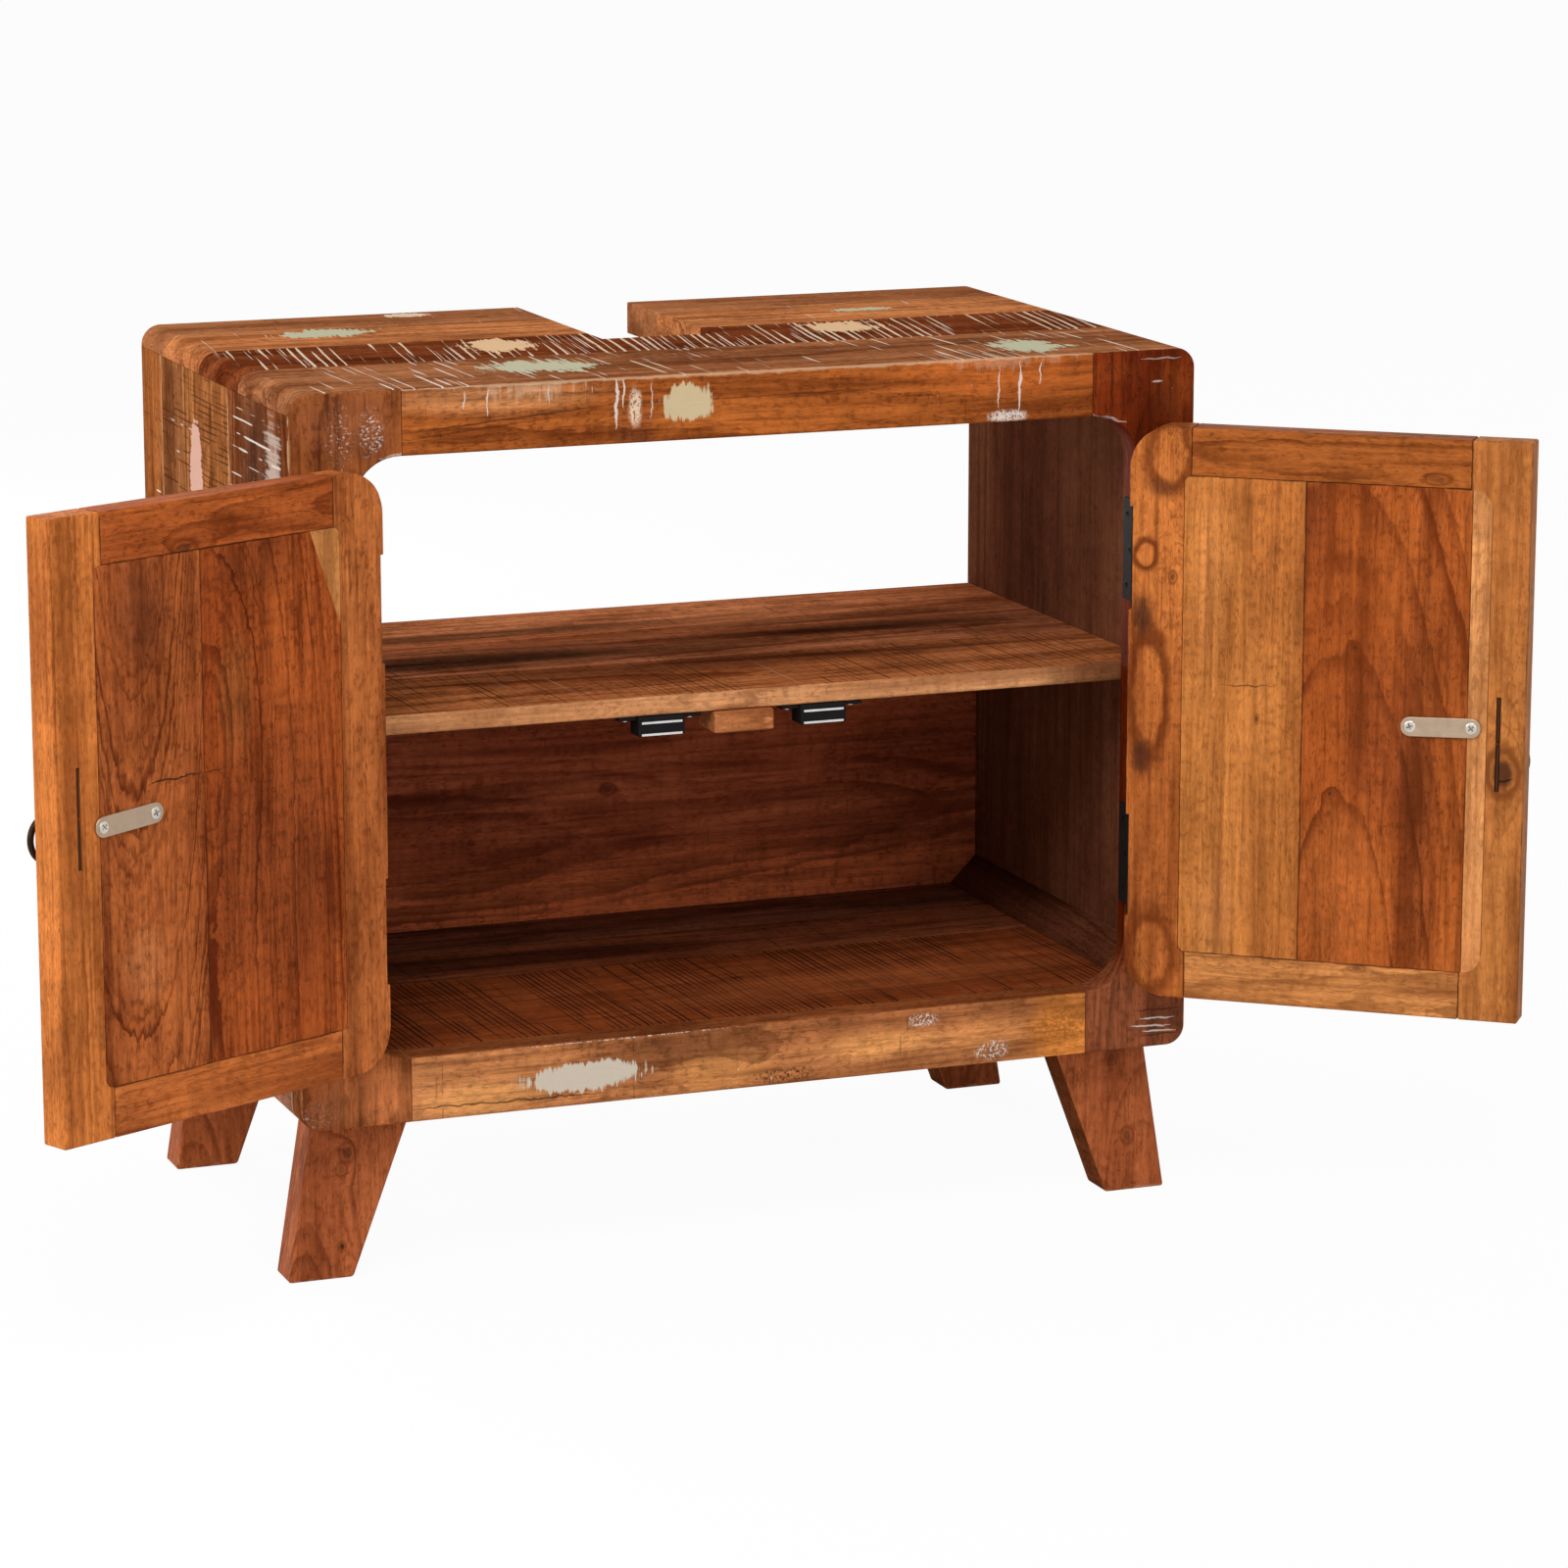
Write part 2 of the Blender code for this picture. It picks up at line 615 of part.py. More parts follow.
def build_leaf(name, sign, plate_along, first_knuckle, place, parent):
    """One leaf with every second knuckle, cut back where the other leaf's knuckles turn."""
    mesh = outline_mesh(name, leaf_outline(plate_along, sign), HINGE_LENGTH)
    leaf = add_piece(name, mesh, "black_steel", place, parent)
    knuckle = HINGE_LENGTH / KNUCKLE_COUNT
    reach = KNUCKLE_RADIUS + LEAF_PLAY
    for index in range(KNUCKLE_COUNT):
        if index % 2 == first_knuckle:
            continue
        low_z = -HINGE_LENGTH / 2 + index * knuckle - (LEAF_PLAY / 2 if index else CUT_OVERRUN)
        last = index == KNUCKLE_COUNT - 1
        high_z = -HINGE_LENGTH / 2 + (index + 1) * knuckle + (CUT_OVERRUN if last else LEAF_PLAY / 2)
        gap = box_cutter(
            f"{name}_gap_{index}",
            (place[0] - reach, place[1] - reach, place[2] + low_z),
            (place[0] + reach, place[1] + reach, place[2] + high_z),
            parent,
        )
        cut(leaf, gap)
    bore_radius = (PIN_RADIUS + PIN_PLAY) / math.cos(math.pi / ROUND_STEPS)
    bore_mesh = cylinder_mesh(name + "_bore", bore_radius, HINGE_LENGTH + 2 * CUT_OVERRUN)
    cut(leaf, add_cutter(name + "_bore", bore_mesh, place, parent))


def build_hinges(side, sign, door):
    for level, middle_z in HINGE_Z.items():
        name = f"{side}_{level}_hinge"
        on_frame = (sign * AXIS_X, AXIS_Y, middle_z)
        build_leaf(name + "_frame_leaf", sign, FRAME_LEAF_ALONG, 0, on_frame, None)
        build_leaf(name + "_door_leaf", sign, DOOR_LEAF_ALONG, 1, (0.0, 0.0, middle_z), door)
        add_piece(
            name + "_pin",
            cylinder_mesh(name + "_pin", PIN_RADIUS, HINGE_LENGTH),
            "black_steel",
            on_frame,
        )


def build_door_wood(side, sign, door):
    """Frame-and-panel door: two stiles, two rails and two panel boards, with the hardware let into them."""

    def board(name, start, end, low_z, high_z, rounded=None):
        return plank(
            f"{side}_door_{name}",
            (-sign * start, DOOR_OUTER_IN, low_z),
            (-sign * end, DOOR_INNER_IN, high_z),
            "door_wood",
            door,
            rounded,
            OPENING_CORNER_RADIUS - DOOR_GAP,
        )

    stile_end = DOOR_START + DOOR_STILE_WIDTH
    free_start = DOOR_END - DOOR_FREE_STILE_WIDTH
    hinge_stile = board(
        "hinge_stile",
        DOOR_START,
        stile_end - TOUCH,
        DOOR_BOTTOM_Z,
        DOOR_TOP_Z,
        rounded=lambda middle: middle.x * sign > 0.0,
    )
    for level, middle_z in HINGE_Z.items():
        mortise = box_cutter(
            f"{side}_{level}_hinge_mortise",
            (
                -sign * (DOOR_START - CUT_OVERRUN),
                DOOR_OUTER_IN - CUT_OVERRUN,
                middle_z - HINGE_LENGTH / 2 - TOUCH,
            ),
            (-sign * MORTISE_ALONG, DOOR_INNER_IN + CUT_OVERRUN, middle_z + HINGE_LENGTH / 2 + TOUCH),
            door,
        )
        cut(hinge_stile, mortise)
    free_stile = board("free_stile", free_start + TOUCH, DOOR_END, DOOR_BOTTOM_Z, DOOR_TOP_Z)
    panel_low = DOOR_BOTTOM_Z + DOOR_RAIL_HEIGHT
    panel_high = DOOR_TOP_Z - DOOR_RAIL_HEIGHT
    board("top_rail", stile_end, free_start, panel_high + TOUCH, DOOR_TOP_Z)
    board("bottom_rail", stile_end, free_start, DOOR_BOTTOM_Z, panel_low - TOUCH)
    if NARROW_BOARD_AT_HINGE[side]:
        joint = stile_end + NARROW_BOARD_WIDTH
    else:
        joint = free_start - NARROW_BOARD_WIDTH
    hinge_board = board("hinge_side_board", stile_end, joint - TOUCH / 2, panel_low, panel_high)
    free_board = board("free_side_board", joint + TOUCH / 2, free_start, panel_low, panel_high)
    boards = {"free_stile": free_stile, "hinge_board": hinge_board, "free_board": free_board}
    cut_eye_slots(side, sign, door, free_stile)
    build_strike(side, sign, door, boards, joint)


def strike_outline():
    """A plate with round ends, along X."""
    straight = (STRIKE_LENGTH - STRIKE_WIDTH) / 2
    steps = ROUND_STEPS // 2
    right_end = arc((straight, 0.0), STRIKE_WIDTH / 2, -math.pi / 2, math.pi / 2, steps)
    left_end = arc((-straight, 0.0), STRIKE_WIDTH / 2, math.pi / 2, 3 * math.pi / 2, steps)
    return right_end + left_end


def build_strike(side, sign, door, boards, joint):
    """The strike plate on the door's inner face, with a flush screw near each end."""
    plate_in = DOOR_INNER_IN + TOUCH + STRIKE_THICKNESS / 2
    mesh = outline_mesh(side + "_strike_plate", strike_outline(), STRIKE_THICKNESS)
    mesh.transform(STAND_UP)
    place = (-sign * STRIKE_ALONG, plate_in, POLE_MIDDLE_Z)
    plate = add_piece(side + "_strike_plate", mesh, "nickel", place, door)
    for end, offset in (("inner", -STRIKE_SCREW_SPACING / 2), ("outer", STRIKE_SCREW_SPACING / 2)):
        along = STRIKE_ALONG + offset
        if along > DOOR_END - DOOR_FREE_STILE_WIDTH:
            holder = boards["free_stile"]
        elif along > joint:
            holder = boards["free_board"]
        else:
            holder = boards["hinge_board"]
        build_screw(f"{side}_strike_{end}_screw", (-sign * along, POLE_MIDDLE_Z), door, plate, holder)


def build_screw(name, place, door, plate, holder):
    """A screw from the inner face: the head fills a hole in the plate, the shank a pilot hole in the wood."""
    x, z = place
    face_in = DOOR_INNER_IN + TOUCH + STRIKE_THICKNESS
    shank_in = face_in - SCREW_LENGTH
    head_in = DOOR_INNER_IN + TOUCH
    profile = [
        (0.0, face_in),
        (SCREW_HEAD_RADIUS, face_in),
        (SCREW_HEAD_RADIUS, head_in),
        (SCREW_SHANK_RADIUS, head_in),
        (SCREW_SHANK_RADIUS, shank_in),
        (0.0, shank_in),
    ]
    add_piece(name, turned_mesh(name, profile), "zinc", (x, 0.0, z), door)
    for part, target, radius in (
        ("head_hole", plate, SCREW_HEAD_RADIUS),
        ("pilot_hole", holder, SCREW_SHANK_RADIUS),
    ):
        low_in = shank_in - TOUCH if part == "pilot_hole" else DOOR_INNER_IN - CUT_OVERRUN
        length = DOOR_INNER_IN + CUT_OVERRUN + STRIKE_THICKNESS - low_in
        clear_radius = (radius + TOUCH) / math.cos(math.pi / ROUND_STEPS)
        mesh = cylinder_mesh(f"{name}_{part}", clear_radius, length)
        mesh.transform(STAND_UP)
        cut(target, add_cutter(f"{name}_{part}", mesh, (x, low_in + length / 2, z), door))


def turned_mesh(name, profile):
    """A shape turned about Y. The profile gives radius and place along Y, from one end to the other."""
    bm = bmesh.new()
    points = [bm.verts.new((radius, place, 0.0)) for radius, place in profile]
    edges = [bm.edges.new(pair) for pair in zip(points, points[1:])]
    bmesh.ops.spin(
        bm,
        geom=points + edges,
        axis=(0.0, 1.0, 0.0),
        cent=(0.0, 0.0, 0.0),
        angle=2 * math.pi,
        steps=ROUND_STEPS,
        use_merge=True,
    )
    bmesh.ops.remove_doubles(bm, verts=bm.verts, dist=MERGE_DISTANCE)
    bmesh.ops.recalc_face_normals(bm, faces=bm.faces)
    return finished_mesh(bm, name)


def cut_eye_slots(side, sign, door, free_stile):
    """The slot that the eye's legs pass through, and the groove in the inner face that they are bent into."""
    half = EYE_WIRE_RADIUS + TOUCH
    middle_z = EYE_Z[side]
    slot_half = EYE_LEG_OFFSET + EYE_BEND_RADIUS + 2 * TOUCH
    slot = box_cutter(
        side + "_eye_slot",
        (-sign * EYE_ALONG - half, DOOR_OUTER_IN - CUT_OVERRUN, middle_z - slot_half),
        (-sign * EYE_ALONG + half, DOOR_INNER_IN + CUT_OVERRUN, middle_z + slot_half),
        door,
    )
    groove_depth = 2 * EYE_WIRE_RADIUS + 2 * TOUCH
    groove_half = EYE_LEG_REACH + TOUCH
    groove = box_cutter(
        side + "_eye_groove",
        (-sign * EYE_ALONG - half, DOOR_INNER_IN - groove_depth, middle_z - groove_half),
        (-sign * EYE_ALONG + half, DOOR_INNER_IN + CUT_OVERRUN, middle_z + groove_half),
        door,
    )
    cut(free_stile, slot)
    cut(free_stile, groove)


def eye_path():
    """The split pin from its upper tip, through the door, round the eye and back, as (in, up)."""
    leg_in = DOOR_INNER_IN - EYE_WIRE_RADIUS - TOUCH
    neck = math.asin(EYE_LEG_OFFSET / EYE_RADIUS)
    bend_middle = (leg_in - EYE_BEND_RADIUS, EYE_LEG_OFFSET + EYE_BEND_RADIUS)
    upper = [(leg_in, EYE_LEG_REACH)]
    upper += arc(bend_middle, EYE_BEND_RADIUS, 0.0, -math.pi / 2, BEND_STEPS)
    loop = arc((RING_IN, 0.0), EYE_RADIUS, neck, 2 * math.pi - neck, ROUND_STEPS)
    lower = [(into, -up) for into, up in reversed(upper)]
    return upper + loop + lower


def build_ring_pull(side, sign, door):
    middle_z = EYE_Z[side]
    eye_points = [(0.0, into, up) for into, up in eye_path()]
    eye_mesh = wire_mesh(side + "_ring_eye", eye_points, EYE_WIRE_RADIUS, closed=False)
    add_piece(side + "_ring_eye", eye_mesh, "black_steel", (-sign * EYE_ALONG, 0.0, middle_z), door)
    drop = EYE_RADIUS - EYE_WIRE_RADIUS - RING_WIRE_RADIUS - TOUCH
    circle = arc((0.0, -RING_RADIUS), RING_RADIUS, 0.0, 2 * math.pi, RING_STEPS)[:-1]
    ring_points = [(x, 0.0, z) for x, z in circle]
    ring_mesh = wire_mesh(side + "_ring", ring_points, RING_WIRE_RADIUS, closed=True)
    add_piece(side + "_ring", ring_mesh, "black_steel", (-sign * EYE_ALONG, RING_IN, middle_z - drop), door)


def build_door(side, sign):
    turn = sign * OPEN_ANGLE[side]
    door = add_axis(side + "_door_axis", (sign * AXIS_X, AXIS_Y, 0.0), turn)
    build_door_wood(side, sign, door)
    build_hinges(side, sign, door)
    build_ring_pull(side, sign, door)


build_top_and_base()
build_side_boards()
build_inside()
build_face_frame()
build_legs()
for each_side, each_sign in SIDE_SIGN.items():
    build_catch(each_side, each_sign)
    build_door(each_side, each_sign)
bpy.context.view_layer.update()
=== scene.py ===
"""Looks of the under-sink bathroom cabinet in reclaimed wood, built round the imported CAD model.

Metres. Carcass boards are given from the middle of the carcass on the floor, and door boards from the hinge
axis of a closed door, "along" running from the axis to the free edge.
"""
import json
import math

import bmesh
import bpy
from mathutils import Euler, Matrix, Vector


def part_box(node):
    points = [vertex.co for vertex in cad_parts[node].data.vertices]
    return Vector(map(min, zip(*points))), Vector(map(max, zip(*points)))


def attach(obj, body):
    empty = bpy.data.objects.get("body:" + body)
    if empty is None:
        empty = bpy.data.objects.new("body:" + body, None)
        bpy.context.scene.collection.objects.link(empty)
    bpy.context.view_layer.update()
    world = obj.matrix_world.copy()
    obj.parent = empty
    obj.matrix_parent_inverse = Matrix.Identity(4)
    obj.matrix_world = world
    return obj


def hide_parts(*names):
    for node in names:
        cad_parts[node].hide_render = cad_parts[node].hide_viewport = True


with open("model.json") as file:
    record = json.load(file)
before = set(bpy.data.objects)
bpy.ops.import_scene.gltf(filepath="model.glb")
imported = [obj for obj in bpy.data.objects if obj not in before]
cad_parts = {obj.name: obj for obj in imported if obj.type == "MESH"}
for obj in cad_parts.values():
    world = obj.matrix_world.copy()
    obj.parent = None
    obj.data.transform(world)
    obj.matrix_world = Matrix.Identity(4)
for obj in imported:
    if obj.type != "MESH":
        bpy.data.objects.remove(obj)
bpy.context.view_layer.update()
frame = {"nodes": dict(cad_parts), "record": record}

# Camera of a 1600 by 1600 picture, from the carcass middle
CAMERA_PLACE = (-1.18012, -3.27893, 1.02309)
CAMERA_YAW = math.radians(21.118)
CAMERA_PITCH = math.radians(12.2287)
CAMERA_LENS = 124.1186
CAMERA_SENSOR = 36.0

# Carcass sizes that the looks need, from its middle
HALF_WIDTH = 0.300
FRONT_Y = -0.175
FRAME_BACK_Y = -0.155
BACK_Y = 0.175
BOTTOM_Z = 0.106
TOP_Z = 0.565
TOP_THICKNESS = 0.021
TOP_END_THICKNESS = 0.0135
SIDE_INNER = 0.284
TONGUE_HALF = 0.2837
REBATE_X = 0.292
REBATE_Y = 0.152
OUTER_RADIUS = 0.013
OPENING_HALF = 0.260
OPENING_LOW_Z = 0.148
OPENING_HIGH_Z = 0.524
OPENING_RADIUS = 0.030
STILE_END = 0.229
RAIL_END_MARGIN = 0.001
NOTCH_HALF = 0.039
NOTCH_FRONT_Y = 0.0
LEG_TOP_OUTER = 0.2845
LEG_TOP_WIDTH = 0.065
LEG_FOOT_OUTER = 0.3015
LEG_FOOT_WIDTH = 0.0425
TOP_JOINTS = (-0.062, 0.030, 0.115)
SIDE_JOINTS = (-0.037, 0.124)
SHELF_JOINTS = (-0.040, 0.045)
FLOOR_JOINTS = (0.0, 0.075)
EDGE_DEPTH = 0.002
EDGE_BOARD_DEPTH = 0.01

# Door sizes
DOOR_RADIUS = 0.0275
MORTISE_ALONG = 0.00335
MORTISE_HALF = 0.0333
HINGE_HEIGHTS = (0.236, 0.436)
PANEL_AT_HINGE = 0.0365
PANEL_AT_FREE = {"left": 0.2255, "right": 0.2335}
PALE_STRIP_ALONG = 0.2208
SAPWOOD_ALONG = 0.060
SAPWOOD_LOW_Z = 0.431
DOOR_MIDDLE_Z = 0.336
DOOR_END_REACH = 0.18
GROOVE_HALF_WIDTH = 0.0015
GROOVE_HALF_LENGTH = 0.0303
GROOVE_DEPTH = 0.003
EYE_FROM_FREE_EDGE = 0.017
EYE_Z = {"left": 0.345, "right": 0.330}

# Hardware
AXIS_X = 0.25875
AXIS_Y = -0.179
LEAF_THICKNESS = 0.0018
LEAF_WIDTH = 0.019
LEAF_START = 0.0039
LEAF_HALF_LENGTH = 0.033
FRAME_LEAF_ALONG = -0.00095
DOOR_LEAF_ALONG = 0.00125
KNUCKLE_COUNT = 5
FRAME_KNUCKLES = (0, 2, 4)
DOOR_KNUCKLES = (1, 3)
KNUCKLE_RADIUS = 0.0034
KNUCKLE_GAP = 0.0004
KNUCKLE_STEPS = 24
LEAF_SCREWS = ((-0.023, 0.013), (0.0, 0.009), (0.023, 0.013))
LEAF_SCREW_RADIUS = 0.0027
LEAF_SCREW_RISE = 0.00015
STRIKE_SCREW_RADIUS = 0.0036
PLATE_TILT = {"left": math.radians(3.5), "right": math.radians(1.6)}
SCREW_TURN = {"inner": math.radians(18.0), "outer": math.radians(40.0)}
SCREW_STEPS = 24
CROSS_LENGTH = 0.62
CROSS_HALF_WIDTH = 0.16
CROSS_FLOOR = 0.8
SCREW_CROWN = 0.86
SMALLEST_SINE = 0.001
SCREW_SINK = 0.0012
LEAF_SCREW_SINK = 0.0007
STRIKE_SCREW_RISE = 0.0006
CATCH_SCREW_RADIUS = 0.0031
CATCH_SCREW_RISE = 0.0012
PLATE_ROUNDING = 0.98
CATCH_HALF = 0.0155
CATCH_EAR_THICKNESS = 0.0025
CATCH_EAR_SETBACK = 0.003
WIRE_STEPS = 16
RING_STEPS = 56

# Finish of the woodwork
JOINT_GAP = 0.0003
ARRIS = 0.0018
PLANK_ARRIS = 0.0006
SMALL_ARRIS = 0.0004
BLOCK_ARRIS = 0.0014
STRIP_ARRIS = 0.0008
LEG_ARRIS = 0.0022
HINGE_STILE_ARRIS = 0.0011
DOOR_ARRIS = 0.0013
LEAF_ARRIS = 0.0003
CATCH_ARRIS = 0.0009
EAR_ARRIS = 0.0005
ARRIS_STEPS = 3
ROUND_STEPS = 12
SHARP_ANGLE = math.radians(40.0)
SMOOTH_ANGLE = math.radians(50.0)
NEAR = 0.0002

AXES = {"X": Vector((1.0, 0.0, 0.0)), "Y": Vector((0.0, 1.0, 0.0)), "Z": Vector((0.0, 0.0, 1.0))}
SIDE_SIGN = {"left": -1.0, "right": 1.0}

# Colours of old paint, linear
CREAM = (0.72, 0.56, 0.40)
PEACH = (0.72, 0.47, 0.27)
PALE_GREEN = (0.50, 0.48, 0.33)
SAGE = (0.54, 0.42, 0.25)
PINK = (0.62, 0.36, 0.28)
GREY_CREAM = (0.58, 0.50, 0.40)
WHITE_WASH = (0.70, 0.62, 0.54)
WORN_WOOD = (0.58, 0.35, 0.20)
BLACK_LINE = (0.022, 0.010, 0.006)
DARK_WOOD = (0.060, 0.018, 0.007)

# How marks lie on the wood
PAINT_ROUGHNESS = 0.62
SAWN_ROUGHNESS = 0.65
WORN_ROUGHNESS = 0.6
STAIN_RAGGED = 0.35
FLECK_RAGGED = 0.5
FLECK_SOFT = 0.35
WORN_CROOKED = 0.004
SCRATCH_CROOKED = 0.005
SCRATCH_LEAN = 0.0004
SAW_END_MARGIN = 0.006
SMALLEST_HALF = 0.001
FACE_FADE_START = 0.0016
FACE_FADE_END = 0.0008
GRAIN_STRENGTH = 0.35
GRAIN_HEIGHT = 0.0006
GRAIN_LIMIT = 1.8

# Least share of a face's normal along an axis for the face to look that way
FACING = 0.6
SIDE_FACING = 0.5
LEG_FACING = 0.7
SQUARE_ON = 0.9


def carcass_place():
    """From the middle of the carcass on the floor to the shared frame."""
    base_low, base_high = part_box("base_board")
    front_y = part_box("bottom_frame_rail")[0].y
    return Matrix.Translation(((base_low.x + base_high.x) / 2, (front_y + base_high.y) / 2, 0.0))


def door_places():
    """From each closed door's hinge axis to the shared frame, with the door open as at rest."""
    joints = {joint["name"]: joint for joint in frame["record"]["behaviour"]["joints"]}
    closing = {
        "left": joints["left_door_hinge"]["range_deg"][1],
        "right": joints["right_door_hinge"]["range_deg"][0],
    }
    places = {}
    for side, angle in closing.items():
        axis_x, axis_y, _ = joints[side + "_door_hinge"]["pos_m"]
        turn = Matrix.Rotation(-math.radians(angle), 4, "Z")
        places[side] = Matrix.Translation((axis_x, axis_y, 0.0)) @ turn
    return places


CARCASS = carcass_place()
DOORS = door_places()


def node_span(node, place=CARCASS):
    """Lowest and highest corner of a CAD node in the place's own axes."""
    inverse = place.inverted()
    points = [inverse @ vertex.co for vertex in frame["nodes"][node].data.vertices]
    low = Vector([min(point[i] for point in points) for i in range(3)])
    high = Vector([max(point[i] for point in points) for i in range(3)])
    return low, high


class Tree:
    """Puts nodes into a node tree and links them."""

    def __init__(self, tree):
        self.tree = tree

    def put(self, kind, values=(), **settings):
        node = self.tree.nodes.new(kind)
        for key, value in settings.items():
            setattr(node, key, value)
        for key, value in dict(values).items():
            self.feed(node.inputs[key], value)
        return node

    def feed(self, socket, value):
        if isinstance(value, bpy.types.NodeSocket):
            self.tree.links.new(value, socket)
        else:
            socket.default_value = value

    def math(self, operation, *values):
        return self.put("ShaderNodeMath", enumerate(values), operation=operation).outputs[0]

    def times(self, first, second):
        return self.math("MULTIPLY", first, second)

    def plus(self, first, second):
        return self.math("ADD", first, second)

    def minus(self, first, second):
        return self.math("SUBTRACT", first, second)

    def over(self, first, second):
        return self.math("DIVIDE", first, second)

    def vector(self, operation, *values):
        node = self.put("ShaderNodeVectorMath", enumerate(values), operation=operation)
        return node.outputs["Value" if operation == "LENGTH" else "Vector"]

    def split(self, vector):
        return self.put("ShaderNodeSeparateXYZ", {"Vector": vector}).outputs

    def join(self, x, y, z):
        return self.put("ShaderNodeCombineXYZ", {"X": x, "Y": y, "Z": z}).outputs["Vector"]

    def ease(self, value, low, high, start=0.0, end=1.0):
        """A smooth step from start to end as the value goes from low to high."""
        values = {"Value": value, "From Min": low, "From Max": high, "To Min": start, "To Max": end}
        node = self.put("ShaderNodeMapRange", values, interpolation_type="SMOOTHSTEP")
        return node.outputs["Result"]

    def noise(self, vector, stretch=None, detail=2.0, roughness=0.5):
        if stretch:
            vector = self.vector("MULTIPLY", vector, stretch)
        values = {"Vector": vector, "Scale": 1.0, "Detail": detail, "Roughness": roughness}
        return self.put("ShaderNodeTexNoise", values).outputs[0]

    def chance(self, value):
        """A random number from 0 to 1 for each value."""
        return self.put("ShaderNodeTexWhiteNoise", {"W": value}, noise_dimensions="1D").outputs["Value"]

    def blend(self, factor, first, second):
        node = self.put("ShaderNodeMix", {0: factor, 6: first, 7: second}, data_type="RGBA")
        return node.outputs[2]

    def group(self, tree, **values):
        named = {key.replace("_", " ").capitalize(): value for key, value in values.items()}
        return self.put("ShaderNodeGroup", named, node_tree=tree).outputs

    def close(self, **values):
        """Feeds a node group's outputs, and gives the finished group."""
        end = self.put("NodeGroupOutput")
        for label, value in values.items():
            self.feed(end.inputs[label], value)
        return self.tree


SOCKETS = {"value": "NodeSocketFloat", "vector": "NodeSocketVector", "colour": "NodeSocketColor"}


def new_group(name, inputs, outputs):
    """An empty node group, as its tree and its input sockets."""
    group = bpy.data.node_groups.new(name, "ShaderNodeTree")
    for label, kind in inputs.items():
        group.interface.new_socket(label, in_out="INPUT", socket_type=SOCKETS[kind])
    for label, kind in outputs.items():
        group.interface.new_socket(label, in_out="OUTPUT", socket_type=SOCKETS[kind])
    tree = Tree(group)
    return tree, tree.put("NodeGroupInput").outputs


def rgb(tone):
    return (*tone, 1.0)


